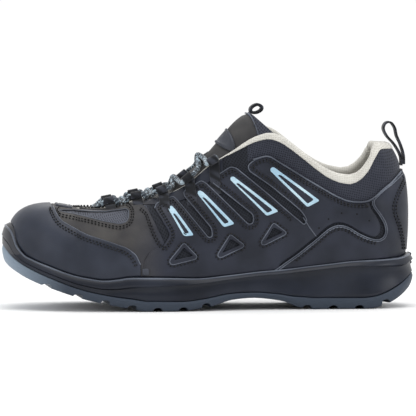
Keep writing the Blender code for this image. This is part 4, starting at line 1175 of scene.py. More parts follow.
def midsole_cup():
    """The midsole: a cup under and round the upper, with the bumper in front of the toe."""
    outside = []
    inside = []
    for side, g in FINE_RING:
        edge = v_of_height(side, g, rand_height(side, g))
        inner = [feather(side, g) + outward(side, g) * GAP - Vector((0, 0, GAP))]
        inner += [last_point(side, g, edge * k / 6, GAP) for k in range(1, 7)]
        lip = last_point(side, g, edge, GAP)
        outer_lip = last_point(side, g, edge, GAP + 0.0010) + Vector((0, 0, 0.0003))
        floor = bed(side, g) + Vector((0, 0, GAP))
        outside.append([floor] + sole_wall(side, g) + [outer_lip, lip])
        inside.append(inner)
    faces = around(outside) + around(inside)
    faces += across([profile[0] for profile in outside])
    faces += across([profile[0] for profile in inside])
    zones = []
    for face in faces:
        middle = sum(face, Vector()) / len(face)
        zones.append(1 if middle.x < BUMPER_END and middle.z > BUMPER_LOW else 0)
    made = piece("midsole_cup", faces, (MIDSOLE, BUMPER), None, 30, zones)
    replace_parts(made, "midsole")


def footbed():
    """The loose knitted footbed, with a soft bevel along its edge."""
    profiles = []
    for side, g in FINE_RING:
        out = outward(side, g)
        edge = feather(side, g) - out * (WALL + 2 * GAP)
        top = edge - out * 0.3 * INSOLE_THICK + Vector((0, 0, INSOLE_THICK))
        raised = edge + Vector((0, 0, 0.8 * INSOLE_THICK))
        bevel = (raised + top) / 2 + (out + Vector((0, 0, 1))) * 0.0003
        profiles.append([edge, raised, bevel, top])
    faces = around(profiles)
    faces += across([profile[0] for profile in profiles])
    faces += across([profile[-1] for profile in profiles])
    made = piece("footbed", faces, FOOTBED_KNIT, lambda p: (p.x, p.y))
    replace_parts(made, "insole")


def tongue_cover():
    """The padded tongue: film on its front, mesh on its free edge, lining behind."""
    start = TONGUE_CREST[0][0] * LENGTH
    rows = 64
    columns = 36
    profiles = []
    for k in range(rows + 1):
        x = start + (TONGUE_END - start) * k / rows
        from_end = (TONGUE_END - x) / 0.006
        turn = math.sqrt(max(1 - max(1 - from_end, 0) ** 2, 0.0))
        front = []
        back = []
        for j in range(columns + 1):
            q = 2 * j / columns - 1
            depth = TONGUE_THICK * (1 - 0.6 * q * q) * (0.25 + 0.75 * turn)
            point = tongue_front(x, q)
            out = tongue_normal(min(x, TONGUE_END - 0.002), q)
            seam = abs(point.x - tongue_seam(q)) / 0.0012
            swell = -0.0005 * math.exp(-seam * seam)
            if x > 0:
                swell += 0.0006 * math.sin(math.pi * min(from_end / 3, 1)) * (1 - q * q)
            front.append(point - out * ((1 - turn) * depth * 0.4 - swell))
            back.append(point - out * depth)
        profiles.append(front + back[::-1] + front[:1])
    faces = []
    zones = []
    for first, second in zip(profiles, profiles[1:]):
        faces += strip(first, second)
        for j in range(len(first) - 1):
            zone = 2
            if j < columns:
                middle = (first[j] + second[j + 1]) / 2
                zone = 1 if middle.x > tongue_seam(2 * (j + 0.5) / columns - 1) else 0
            zones += [zone, zone]
    for last in (profiles[0], profiles[-1]):
        half = len(last) // 2
        ends = strip(last[:half], last[-2 : -half - 2 : -1])
        faces += ends
        zones += [1] * len(ends)
    cloth = (TONGUE_FILM, TONGUE_MESH, LINING_KNIT)
    made = piece("tongue_cover", faces, cloth, unrolled, 50, zones)
    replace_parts(made, "tongue")


def tongue_seam(q):
    """Where the tongue's cover ends and its mesh edge starts, across the free top."""
    return TONGUE_END - 0.0020 + 0.012 * abs(q) ** 1.6


def tread():
    """The tread plate with its grooves, on the fine ring."""
    profiles = []
    for side, g in FINE_RING:
        top = sole_edge(side, g, PARTING_INSET, parting)
        low = sole_edge(side, g, 0.0030, underside)
        body = top.z - low.z
        rows = ((0.03, 0.0005), (0.22, 0.0), (0.45, 0.0003), (0.75, 0.0012), (0.90, 0.0020))
        wall = [sole_edge(side, g, inset, top.z - share * body) for share, inset in rows]
        profiles.append([bed(side, g), top] + wall + [low])
    faces = around(profiles)
    faces += across([profile[0] for profile in profiles])
    faces += across([profile[-1] for profile in profiles])
    made = piece("tread_plate", faces, TREAD)
    tools = [groove(place) for place in FORE_GROOVES + HEEL_GROOVES]
    tools += [long_groove(places[0], places[-1]) for places in (FORE_GROOVES, HEEL_GROOVES)]
    tools = [piece("groove_tool", tube(rows), TREAD) for rows in tools]
    for tool in tools:
        modifier = made.modifiers.new("cut", "BOOLEAN")
        modifier.operation = "DIFFERENCE"
        modifier.solver = "EXACT"
        modifier.object = tool
    bpy.context.view_layer.update()
    graph = bpy.context.evaluated_depsgraph_get()
    mesh = bpy.data.meshes.new_from_object(made.evaluated_get(graph))
    for tool in tools + [made]:
        bpy.data.objects.remove(tool)
    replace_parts(finished("tread_rubber", mesh, [], 30), "outsole")


def groove(place):
    """Sections of a cutter for a bent groove across the tread."""
    half = GROOVE_WIDTH / 2
    reach = 0.7 * BALL_WIDTH
    arch = [(-half * 1.08, -GROOVE_DEPTH)]
    for k in range(13):
        turn = math.pi * (1 - k / 12)
        arch.append((half * math.cos(turn), GROOVE_DEPTH - 0.6 * half * (1 - math.sin(turn))))
    arch.append((half * 1.08, -GROOVE_DEPTH))
    bend = reach / (BALL_WIDTH / 2 + SIDE_RAND)
    rows = []
    for y, ahead in ((-reach, 1 - bend), (0, 1), (reach, 1 - bend)):
        middle = place * LENGTH - CHEVRON * ahead
        rows.append([Vector((middle + a, y, underside(place * LENGTH) + b)) for a, b in arch])
    return rows


def long_groove(start, end):
    """Sections of a cutter for the groove down the middle of the tread."""
    half = GROOVE_WIDTH / 2
    depth = 0.8 * GROOVE_DEPTH
    rows = []
    for k in range(25):
        x = (start + (end - start) * k / 24) * LENGTH
        corners = ((-half, -depth), (-0.7 * half, depth), (0.7 * half, depth), (half, -depth))
        rows.append([Vector((x, centre_line(x) + a, underside(x) + b)) for a, b in corners])
    return rows


# The tables below are paths on the side, as shares of the length and of the collar's height.
# Film of the vamp on one side: throat, back edge, foot and toe cap seam
VAMP_EDGE = (
    (-0.3114, 0.5702), (-0.2677, 0.566), (-0.2385, 0.5739), (-0.2045, 0.5963), (-0.1802, 0.6131),
    (-0.1632, 0.6009), (-0.1515, 0.5702), (-0.1352, 0.4802), (-0.1168, 0.3903), (-0.1255, 0.3689),
    (-0.1437, 0.3548), (-0.1571, 0.3318), (-0.1656, 0.297), (-0.169, 0.2649), (-0.1695, 0.2006),
    (-0.1753, 0.2008), (-0.1758, 0.2733), (-0.1812, 0.3062), (-0.1928, 0.337), (-0.2086, 0.359),
    (-0.2273, 0.3748), (-0.2504, 0.3912), (-0.2738, 0.4089), (-0.2971, 0.4288), (-0.3204, 0.4523),
    (-0.3437, 0.4805), (-0.3625, 0.5062), (-0.3765, 0.5346), (-0.3821, 0.5693), (-0.3814, 0.588),
)
# Mesh window in the vamp
VAMP_WINDOW = (
    (-0.3685, 0.5689), (-0.3292, 0.5666), (-0.2871, 0.5618), (-0.2507, 0.562), (-0.2215, 0.5728),
    (-0.2045, 0.5816), (-0.1991, 0.5698), (-0.2006, 0.5406), (-0.206, 0.5115), (-0.2222, 0.4951),
    (-0.2616, 0.5132), (-0.309, 0.5379), (-0.3552, 0.5574),
)
# Outline and opening of each pale triangle, front to back
PALE = (
    (
        (
            (-0.1049, 0.5776), (-0.1024, 0.5927), (-0.0961, 0.5966), (-0.0896, 0.5801),
            (-0.0465, 0.4326), (-0.0713, 0.4275),
        ),
        (
            (-0.0937, 0.5539), (-0.0888, 0.5467), (-0.0597, 0.4476), (-0.0677, 0.4455),
        ),
    ),
    (
        (
            (-0.0334, 0.6655), (-0.032, 0.6818), (-0.0256, 0.6852), (-0.0186, 0.6739),
            (0.0526, 0.4987), (0.0261, 0.4779),
        ),
        (
            (-0.0222, 0.6465), (-0.0174, 0.6428), (0.0375, 0.5091), (0.0283, 0.5012),
        ),
    ),
    (
        (
            (0.0446, 0.7498), (0.0463, 0.7655), (0.0531, 0.7688), (0.0621, 0.7522),
            (0.1593, 0.5699), (0.1299, 0.5427),
        ),
        (
            (0.0594, 0.7283), (0.0643, 0.727), (0.1428, 0.5762), (0.1313, 0.5648),
        ),
    ),
    (
        (
            (0.1391, 0.8037), (0.1406, 0.8206), (0.1474, 0.8251), (0.1571, 0.8096),
            (0.2589, 0.6295), (0.2283, 0.5924),
        ),
        (
            (0.1591, 0.778), (0.1644, 0.7767), (0.2426, 0.6364), (0.229, 0.6164),
        ),
    ),
)
# Outline and opening of each moulded triangle, front to back
MOULDED = (
    (
        (
            (-0.0718, 0.3919), (-0.1068, 0.2929), (-0.1058, 0.2724), (-0.0971, 0.2693),
            (-0.0431, 0.2998), (-0.0412, 0.3162),
        ),
        (
            (-0.0718, 0.3662), (-0.0966, 0.2944), (-0.049, 0.3176),
        ),
    ),
    (
        (
            (0.0409, 0.4389), (0.0094, 0.3252), (0.0108, 0.3088), (0.0186, 0.3074),
            (0.0723, 0.3655), (0.0733, 0.3795),
        ),
        (
            (0.0414, 0.4143), (0.02, 0.3307), (0.0657, 0.3773),
        ),
    ),
    (
        (
            (0.1462, 0.5048), (0.1163, 0.3934), (0.1177, 0.3782), (0.125, 0.3768),
            (0.1761, 0.4373), (0.177, 0.4501),
        ),
        (
            (0.1464, 0.4791), (0.1265, 0.4001), (0.1693, 0.4492),
        ),
    ),
)
# Heel counter
COUNTER = (
    (0.1503, 0.1913), (0.1503, 0.2264), (0.1649, 0.2529), (0.2062, 0.3212), (0.2524, 0.4076),
    (0.2767, 0.4589), (0.2973, 0.4834), (0.3131, 0.4853), (0.3313, 0.4713), (0.3544, 0.435),
    (0.3763, 0.4104), (0.3948, 0.3982), (0.4103, 0.4106), (0.4166, 0.4478), (0.4128, 0.4935),
    (0.4016, 0.5429), (0.3904, 0.5818), (0.386, 0.6112), (0.3904, 0.6391), (0.4152, 0.6945),
    (0.4443, 0.744), (0.4713, 0.787), (0.4733, 0.1819),
)
# Edge of the strip up the back of the heel
BACK_STRIP = (
    (0.4687, 0.7374), (0.4468, 0.6679), (0.4371, 0.6039), (0.4358, 0.5571), (0.4468, 0.4867),
    (0.4565, 0.4045), (0.4638, 0.3225),
)
# Row of stitches inside the counter's front and top edge
COUNTER_STITCH = (
    (0.1843, 0.2634), (0.2098, 0.3077), (0.256, 0.394), (0.2796, 0.4454), (0.2985, 0.4676),
    (0.3126, 0.4695), (0.3287, 0.4574), (0.3515, 0.421), (0.3739, 0.3958), (0.3948, 0.383),
)


def arc_table():
    """Length round the shoe at its middle height, set to the place along it at the crown."""
    points = GRIDS[LATERAL][0][:, 30]
    steps = np.linalg.norm(np.diff(points, axis=0), axis=1)
    lengths = np.concatenate([[0], np.cumsum(steps)])
    return lengths - np.interp(1.0, FINE_G, lengths) + CROWN_X


ARCS = arc_table()


def arc_of(x):
    return float(np.interp(place_to_g(x), FINE_G, ARCS))


def g_of(spot):
    """The g of a flat spot, from its length round the shoe."""
    return float(np.interp(spot.x, ARCS, FINE_G))


def side_spot(side):
    """Lifts flat side coordinates, length round the shoe and height, off one side."""

    def at(spot, lift):
        g = g_of(spot)
        return last_point(side, g, v_of_height(side, g, spot.y), lift)

    return at


def ridge_spot(spot, lift):
    """Lifts coordinates that cross the ridge: length round the shoe, and down from the top."""
    side = LATERAL if spot.y >= 0 else MEDIAL
    g = g_of(spot)
    return last_point(side, g, v_below(side, g, abs(spot.y)), lift)


def thinned(points, least, closed=True):
    """The same outline without points that nearly meet."""
    clean = [points[0]]
    for point in points[1:]:
        if (point - clean[-1]).length > least:
            clean.append(point)
    if closed and (clean[0] - clean[-1]).length < least:
        clean.pop()
    return clean


def outline_of(table, side, radius=0.002, step=0.0012, closed=True, lift=0.0004):
    """A table's outline in flat side coordinates, rounded and kept above the sole's edge."""
    corners = [Vector((place * LENGTH, height * COLLAR_HEIGHT)) for place, height in table]
    flat = []
    for spot in rounded(corners, radius, step, closed):
        floor = rand_height(side, place_to_g(spot.x)) + lift
        flat.append(Vector((arc_of(spot.x), max(spot.y, floor))))
    return thinned(flat, 0.4 * step, closed)


def over_ridge(flat, side):
    """Flat side coordinates as ones that cross the ridge, with the medial side below nothing."""
    moved = []
    for spot in flat:
        moved.append(Vector((spot.x, -side * max(down(side, along(g_of(spot)), spot.y), 0.0))))
    return moved


def rounded(points, radius, step, closed=True):
    """An outline with rounded corners and points about a step apart."""
    count = len(points)
    path = []
    for k, corner in enumerate(points):
        if not closed and k in (0, count - 1):
            path.append(corner)
            continue
        before = points[k - 1] - corner
        after = points[(k + 1) % count] - corner
        cut = min(radius, 0.45 * before.length, 0.45 * after.length)
        start = corner + before.normalized() * cut
        end = corner + after.normalized() * cut
        for t in (0.0, 0.25, 0.5, 0.75, 1.0):
            path.append(start * (1 - t) ** 2 + corner * 2 * t * (1 - t) + end * t * t)
    even = []
    for a, b in zip(path, path[1:] + path[:1] if closed else path[1:]):
        parts = max(1, round((b - a).length / step))
        even += [a + (b - a) * k / parts for k in range(parts)]
    clean = thinned(even, 0.3 * step, closed)
    return clean if closed else clean + path[-1:]


def turned_in(points, inset):
    """An outline moved to its own left by an inset."""
    moved = []
    count = len(points)
    for k in range(count):
        ahead = (points[(k + 1) % count] - points[k - 1]).normalized()
        moved.append(points[k] + Vector((-ahead.y, ahead.x)) * inset)
    return moved


def area(points):
    return sum(a.cross(b) for a, b in zip(points, points[1:] + points[:1])) / 2


def beside(flat, inset, closed):
    """A row beside a flat outline, without the points that would fold over at its corners."""
    if closed and area(flat) < 0:
        inset = -inset
    moved = turned_in(flat, inset)
    if not closed:
        moved = moved[1:-1]
    near = np.array([tuple(spot) for spot in flat])
    clean = []
    for spot in moved:
        if np.hypot(near[:, 0] - spot.x, near[:, 1] - spot.y).min() > 0.9 * abs(inset):
            clean.append(spot)
    return thinned(clean, 0.0004, closed)


def inside(spot, ring):
    """Whether a flat spot lies inside a ring, by counting the edges that a ray crosses."""
    within = False
    for a, b in zip(ring, ring[1:] + ring[:1]):
        if (a.y > spot.y) != (b.y > spot.y):
            if spot.x < a.x + (b.x - a.x) * (spot.y - a.y) / (b.y - a.y):
                within = not within
    return within


def film_piece(name, outline, holes, finish, place, thick=0.0011, seat=0.0, soft=0.0005):
    """A film on the upper with soft edges, from flat outlines that run around it."""
    rings = []
    for ring, wanted in [(outline, 1)] + [(hole, -1) for hole in holes]:
        rings.append(ring if area(ring) * wanted >= 0 else ring[::-1])
    steps = ((0.0, FILM_BACK), (0.0, 0.55 * thick), (0.3 * soft, 0.88 * thick), (soft, thick))
    faces = []
    points = []
    edges = []
    for ring in rings:
        levels = []
        for inset, lift in steps:
            moved = turned_in(ring, inset) if inset else ring
            levels.append([place(spot, seat + lift) for spot in moved])
        for low, high in zip(levels, levels[1:]):
            faces += strip(low + low[:1], high + high[:1])
        first = len(points)
        points += moved
        count = len(moved)
        edges += [(first + k, first + (k + 1) % count) for k in range(count)]
    border = len(points)
    step = 0.0035
    low_x, high_x = min(p.x for p in points), max(p.x for p in points)
    low_y, high_y = min(p.y for p in points), max(p.y for p in points)
    near = np.array([tuple(p) for p in points])
    for i in range(int((high_x - low_x) / step) + 1):
        for j in range(int((high_y - low_y) / step) + 2):
            spot = Vector((low_x + (i + 0.5 * (j % 2)) * step, low_y + j * step))
            if np.min(np.hypot(near[:, 0] - spot.x, near[:, 1] - spot.y)) > 0.5 * step:
                points.append(spot)
    flat, _, triangles = delaunay_2d_cdt(points, edges, [], 1, 1e-7)[:3]
    number_of = {(round(spot.x * 1e6), round(spot.y * 1e6)): k for k, spot in enumerate(flat)}
    top = [place(spot, seat + thick) for spot in flat]
    back = [place(spot, seat + FILM_BACK) for spot in flat]
    for inner, outer in zip(points[:border], [spot for ring in rings for spot in ring]):
        number = number_of.get((round(inner.x * 1e6), round(inner.y * 1e6)))
        if number is not None:
            back[number] = place(outer, seat + FILM_BACK)
    for triangle in triangles:
        middle = sum((flat[k] for k in triangle), Vector((0, 0))) / 3
        if not any(inside(middle, ring) for ring in rings[1:]):
            faces += [[top[k] for k in triangle], [back[k] for k in triangle]]
    return piece(name, faces, finish, unrolled, 50)


def edge_path(table, side, lift, radius=0.002, step=0.0012, closed=True, inset=0.0):
    """Points on the shoe along a table's outline, or beside it."""
    flat = outline_of(table, side, radius, step, closed)
    if inset and closed:
        flat = turned_in(flat, inset if area(flat) > 0 else -inset)
    elif inset:
        flat = turned_in(flat, inset)[1:-1]
    place = side_spot(side)
    return [place(spot, lift) for spot in flat]


def cord_piece(name, paths, thick, finish, sides=6, flat=1.0):
    """Cords of one thickness along paths on the upper, each closed at its ends or on itself."""
    faces = []
    turns = [2 * math.pi * (k + 0.5) / sides for k in range(sides)]
    corners = [(thick / 2 * math.cos(t), thick / 2 * flat * math.sin(t)) for t in turns]
    for path, closed in paths:
        rings = []
        for k, point in enumerate(path):
            ahead = heading(path, k, closed)
            out = Vector((0, point.y, 0.02))
            out = (out - ahead * out.dot(ahead)).normalized()
            aside = ahead.cross(out)
            rings.append([point + aside * a + out * b for a, b in corners])
        faces += tube(rings, closed)
    return piece(name, faces, finish, unrolled, 60)


def side_films():
    """Films of the side and the heel, with the pale and the moulded triangles on them."""
    for side in SIDES:
        label = NAMES[side]
        place = side_spot(side)
        eyes = [outline_of(eye, side, 0.0012) for _, eye in MOULDED]
        outline = outline_of(CAGE, side, 0.003)
        made = film_piece(f"side_cage_{label}_film", outline, eyes, SIDE_FILM, place)
        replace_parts(made, f"side_cage_{label}")
        for k, (outer, eye) in enumerate(PALE):
            rim = outline_of(outer, side, 0.0018, 0.0008)
            hole = beside(outline_of(eye, side, 0.0006, 0.0008), -0.00035, True)
            name = f"pale_triangle_{label}_{k + 1}"
            film_piece(name, rim, [hole], PALE_FILM, place, 0.00045, 0.0010, 0.0003)
        for k, (outer, eye) in enumerate(MOULDED):
            rim = outline_of(outer, side, 0.0016, 0.0008)
            hole = outline_of(eye, side, 0.0010, 0.0008)
            name = f"moulded_triangle_{label}_{k + 1}"
            film_piece(name, rim, [hole], SIDE_FILM, place, 0.0006, 0.0010, 0.0004)
        outline = outline_of(COUNTER, side, 0.003)
        made = film_piece(f"heel_counter_{label}_film", outline, [], SIDE_FILM, place, 0.0014)
        if side == LATERAL:
            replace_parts(made, "heel_counter")


def vamp_film():
    """The vamp's film, over the ridge from side to side, with a mesh window on each."""
    front = []
    holes = []
    for side in SIDES:
        front.append(over_ridge(outline_of(VAMP_EDGE, side, 0.002, 0.0014, False), side))
        holes.append(over_ridge(outline_of(VAMP_WINDOW, side), side))
    throat = Vector((arc_of(THROAT_X) - 0.0008, 0.0))
    crown = Vector((front[0][-1].x + 0.0005, 0.0))
    whole = [throat] + front[0] + [crown] + front[1][::-1]
    film_piece("vamp_film", thinned(whole, 0.0004), holes, VAMP_FILM, ridge_spot, 0.0010)


def toe_cap_film():
    """The moulded toe cap film, its edge stepped down to the vamp."""
    end = CAP_EDGE[-1][0] * LENGTH
    one = [k / 16 for k in range(16)]
    one += [place_to_g(CROWN_X + (end - CROWN_X) * k / 46) for k in range(47)]
    thick = 0.0014
    rows = []
    for side, g in [(MEDIAL, g) for g in one[::-1]] + [(LATERAL, g) for g in one[1:]]:
        low = v_of_height(side, g, rand_height(side, g) + 0.0004)
        high = 1.0
        if g > 1:
            high = max(v_of_height(side, g, cap_edge(along(g))), low + 0.01)
        edge = min(0.010, 0.2 * (high - low))
        step = (high - edge, high - 0.4 * edge) if g > 1 else (0.985, 0.994)
        fade = [(low, FILM_BACK), (low, 0.7 * thick), (low + 0.008, thick)]
        fade += [(low + (high - low) * k / 22, thick) for k in range(1, 22)]
        fade += [(step[0], thick), (step[1], 0.9 * thick), (high, 0.5 * thick), (high, FILM_BACK)]
        rows.append([(side, g, v, lift) for v, lift in fade])
    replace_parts(laid_sheet("toe_cap_film", rows, FILM_BACK, TOE_FILM), "toe_cap")


# Seam from the last slot down to the heel counter
SLOT_SEAM = ((0.218, 0.534), (0.235, 0.472), (0.25, 0.424))


def edge_cords():
    """Turned edges and piping round the films: raised cords, paler than the films as a painted
    highlight.
    """
    for side in SIDES:
        label = NAMES[side]
        cords = [(edge_path(rim, side, 0.0013, 0.0016), True) for rim, _ in MOULDED]
        cords.append((edge_path(VAMP_WINDOW, side, 0.0009), True))
        for table, lift, radius, inset in (
            (SLOT_SEAM, 0.0012, 0.002, 0),
            (CAGE[5:35], 0.0012, 0.003, 0),
            (COUNTER[1:22], 0.0014, 0.003, 0),
            (COUNTER[1:22], 0.0017, 0.003, COUNTER_TURN),
            (CAP_EDGE[1:], 0.0012, 0.002, 0),
        ):
            path = edge_path(table, side, lift, radius, closed=False, inset=inset)
            cords.append((path, False))
        # The cords' paler colour is a painted highlight along the edges
        cord_piece(f"edges_painted_highlight_{label}", cords, 0.0008, EDGE_HIGHLIGHT_CORD)
        seam = edge_path(COLLAR_SEAM, side, 0.0014, 0.004, closed=False)
        # Collar piping in the same paler colour: a painted highlight on the seam
        cord_piece(f"collar_piping_{label}", [(seam, False)], 0.0012, EDGE_HIGHLIGHT_CORD, 8)


def tongue_piping():
    """Piping on the seam between the tongue's cover and its mesh edge, paler as a painted
    highlight.
    """
    points = []
    for k in range(41):
        q = 1.9 * k / 40 - 0.95
        x = min(tongue_seam(q), TONGUE_END - 0.0012)
        for _ in range(12):
            away = tongue_seam(q) - tongue_front(x, q).x
            x = min(max(x + 0.5 * away, 0.004), TONGUE_END - 0.0012)
        out = tongue_normal(min(x, TONGUE_END - 0.002), q)
        points.append(tongue_front(x, q) + out * 0.0003)
    cord_piece("tongue_piping", [(points, False)], 0.0009, EDGE_HIGHLIGHT_CORD)


def sole_lip():
    """The thin moulded lip along the midsole's upper edge: a raised bead that catches the light,
    paler than the midsole as a painted highlight.
    """
    path = []
    for side, g in FINE_RING:
        wall = sole_wall(side, g)
        path.append((wall[-2] + wall[-3]) / 2 - Vector((0, 0, 0.0002)))
    cord_piece("sole_lip", [(path, True)], 0.0015, LIP_HIGHLIGHT, 8)


def bonded_edges():
    """Film welded over the step between the vamp's film and the side film, near the sole."""
    front, low, high = BONDED
    for side in SIDES:
        place = side_spot(side)
        flat = outline_of(CAGE, side, 0.003)
        run = []
        for spot in flat + flat:
            x = along(g_of(spot)) / LENGTH
            if x < front and low < spot.y / COLLAR_HEIGHT < high:
                run.append(spot)
            elif len(run) > 8:
                break
            else:
                run = []
        if len(run) > 8:
            path = [place(spot, 0.00035) for spot in run]
            cord_piece(f"bonded_edge_{NAMES[side]}", [(path, False)], 0.0019, VAMP_FILM, 10, 0.9)


def rim_band():
    """The lining turned over the rim as a roll, wider round the heel."""
    start = 0.012
    one = sorted(g for side, g in FINE_RING if side == LATERAL and along(g) > start)
    rows = []
    for side, g in [(LATERAL, g) for g in one] + [(MEDIAL, g) for g in one[-2::-1]]:
        x = along(g)
        wide = 0.0016 + 0.0036 * smooth((x - 0.060) / 0.060)
        wide *= smooth((x - start) / 0.012) * 0.8 + 0.2
        roll = ((-0.0001, 0.0), (0.0001, 0.7), (0.0006, 1.0), (0.5 * wide, 1.15))
        roll += ((0.85 * wide, 0.9), (wide, 0.3), (wide + 0.0001, -0.5))
        rows.append([(side, g, v_below(side, g, d), 0.0006 * share) for d, share in roll])
    laid_sheet("rim_lining_roll", rows, -0.0004, RIM_LINING, unrolled, 60)


def heel_nubs():
    """Two small moulded ribs on the back of the midsole."""
    for number, share in enumerate((0.93, 0.50)):
        path = []
        for k in range(-6, 7):
            side = LATERAL if k < 0 else MEDIAL
            g = 3 - 0.010 * abs(k)
            wall = sole_wall(side, g)
            low, high = wall[1], wall[-1]
            level = low.z + (high.z - low.z) * share
            spots = [p for p in wall if p.z <= level]
            below = spots[-1]
            above = wall[min(len(spots), len(wall) - 1)]
            t = (level - below.z) / max(above.z - below.z, 1e-6)
            path.append(below + (above - below) * min(t, 1) - outward(side, g) * 0.0002)
        cord_piece(f"heel_rib_{number + 1}", [(path, False)], 0.0026, MIDSOLE, 10)


def rod(name, paths, finish, thick=LACE_THICK, sides=12):
    """Round cords along paths, with cloth coordinates round and along them."""
    mesh = bpy.data.meshes.new(name)
    points = []
    polygons = []
    cloth = []
    turns = [2 * math.pi * j / sides for j in range(sides)]
    for path in paths:
        start = len(points)
        out = Vector((0, 0, 1))
        runs = []
        for k, point in enumerate(path):
            ahead = heading(path, k)
            out = (out - ahead * out.dot(ahead)).normalized()
            aside = ahead.cross(out)
            runs.append((runs[-1] if runs else 0.0) + (point - path[max(k - 1, 0)]).length)
            for turn in turns:
                points.append(point + (aside * math.cos(turn) + out * math.sin(turn)) * thick / 2)
        for k in range(len(path) - 1):
            for j in range(sides):
                a, b = start + k * sides + j, start + k * sides + (j + 1) % sides
                polygons.append((a, b, b + sides, a + sides))
                low, high = j * thick * math.pi / sides, (j + 1) * thick * math.pi / sides
                near, far = runs[k], runs[k + 1]
                cloth.append([(low, near), (high, near), (high, far), (low, far)])
        for first in (start, start + (len(path) - 1) * sides):
            polygons.append(tuple(range(first, first + sides)))
            cloth.append([(0, 0)] * sides)
    mesh.from_pydata([tuple(p) for p in points], [], polygons)
    layer = mesh.uv_layers.new(name="cloth")
    for polygon, corners in zip(mesh.polygons, cloth):
        for loop, spot in zip(polygon.loop_indices, corners):
            layer.data[loop].uv = spot
    work = bmesh.new()
    work.from_mesh(mesh)
    bmesh.ops.recalc_face_normals(work, faces=work.faces)
    work.to_mesh(mesh)
    work.free()
    return finished(name, mesh, finish, 60)


def laces():
    """The flecked round lace: crossings over the tongue, and its runs through the straps."""
    last = len(LACE_ROWS) - 1
    for row in range(last):
        paths = [smooth_path(lace_strand(side, row), 60) for side in SIDES]
        for k, point in enumerate(paths[1]):
            near = abs(k / (len(paths[1]) - 1) - 0.5)
            point.z += 0.0017 * math.exp(-((near / 0.16) ** 2))
        made = rod(f"lace_crossing_{row + 1}", paths, LACE_BRAID)
        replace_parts(made, f"lace_cross_{row + 1}")
    left, left_way = lace_seat(LATERAL, 0)[:2]
    right, right_way = lace_seat(MEDIAL, 0)[:2]
    reaches = (LACE_CLEAR, 0.5 * STRAP_WIDTH)
    x = LACE_ROWS[0] * LENGTH - 1.9 * LACE_RUN
    lift = Vector((0, 0, LACE_THICK / 2))
    points = [left - left_way * reach for reach in reaches]
    points += [over_tongue(x, q) + lift for q in (-0.30, 0, 0.30)]
    points += [right - right_way * reach for reach in reaches[::-1]]
    made = rod("lace_front_run", [smooth_path(points, 70)], LACE_BRAID)
    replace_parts(made, "lace_bar")
    runs = []
    for side in SIDES:
        for row in range(last + 1):
            centre, ahead = lace_seat(side, row)[:2]
            start = centre - ahead * LACE_CLEAR * 1.05
            end = centre + ahead * (0.55 * STRAP_WIDTH if row == last else LACE_CLEAR * 1.05)
            runs.append([start + (end - start) * k / 6 for k in range(7)])
    rod("lace_runs_in_straps", runs, LACE_BRAID)


def webbing(name, path, wide, width, thick, closed=False):
    """A flat woven band along a path, with soft edges."""
    half, deep = width / 2, thick / 2
    edge = half - 0.4 * deep
    corners = [(-half, -0.4 * deep), (-edge, -deep), (edge, -deep), (half, -0.4 * deep)]
    corners += [(-a, -b) for a, b in corners]
    faces = sweep(path, wide, corners, closed)
    return piece(name, faces, DARK_WEBBING, lambda p: (p.y + p.x * 0.4, p.z + p.x * 0.6), 50)


# How a lace strap comes out from under the side film: place on the side, lift
STRAP_WAY = (
    (0.7, 0.0002), (0.76, 0.0006), (0.815, 0.0013), (0.865, 0.0019), (0.915, 0.0022),
    (0.955, 0.0022),
)

# The same for the two front straps, which come out from under the throat's edge film
SHORT_WAY = (
    (0.885, 0.0001), (0.905, 0.001), (0.93, 0.0017), (0.96, 0.0021),
)


def straps():
    """The webbing loops that hold the lace."""
    radius = LACE_THICK / 2 + 0.0002 + STRAP_THICK / 2
    for side in SIDES:
        for row, row_place in enumerate(LACE_ROWS):
            g = side_place(row_place * LENGTH)
            centre, ahead, up, inward = lace_seat(side, row)
            way = STRAP_WAY if row > 1 else SHORT_WAY
            path = [last_point(side, g, v, lift) for v, lift in way]
            for k in range(15):
                turn = math.pi * (1.62 * k / 14 - 0.5)
                way_out = inward * math.cos(turn) + up * math.sin(turn)
                path.append(centre + way_out * radius)
            name = f"lace_strap_{NAMES[side]}_{row + 1}"
            made = webbing(name + "_webbing", path, ahead, STRAP_WIDTH, STRAP_THICK)
            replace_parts(made, name)


def pulls():
    """The webbing pull loops at the heel and on the tongue."""
    across_shoe = Vector((0, 1, 0))
    rim = skin(LATERAL, 3, 1)
    path = smooth_path([rim + Vector((a, 0, b)) * HEEL_PULL_RISE for a, b in HEEL_PULL], 60)
    made = webbing("heel_pull_webbing", path, across_shoe, PULL_WIDTH, PULL_THICK)
    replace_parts(made, "heel_pull")
    top = tongue_front(TONGUE_END, 0)
    points = [top + Vector((a, 0, b)) * TONGUE_PULL_LENGTH for a, b in TONGUE_PULL]
    path = smooth_path(points + points[:1], 40)[:-1]
    made = webbing("tongue_pull_webbing", path, across_shoe, PULL_WIDTH, 1.5 * PULL_THICK, True)
    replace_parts(made, "tongue_pull")


def back_strip():
    """The strip up the back of the heel, over the seam between both counters."""
    strip_edge = line(sorted((height, place) for place, height in BACK_STRIP), LENGTH)
    rows = []
    for k in range(41):
        height = 0.335 + (0.800 - 0.335) * k / 40
        first = place_to_g(min(strip_edge(height * LENGTH), HEEL_X - 0.0008))
        row = []
        for j in range(-12, 13):
            t = abs(j) / 12
            g = 3 - (3 - first) * t
            side = LATERAL if j < 0 else MEDIAL
            soft = 0.4 if t > 0.999 else (0.85 if t > 0.90 else 1.0)
            v = v_of_height(side, g, height * COLLAR_HEIGHT)
            row.append((side, g, v, 0.0013 + 0.0008 * soft))
        rows.append(row)
    laid_sheet("heel_back_strip", rows, 0.0011, SIDE_FILM)


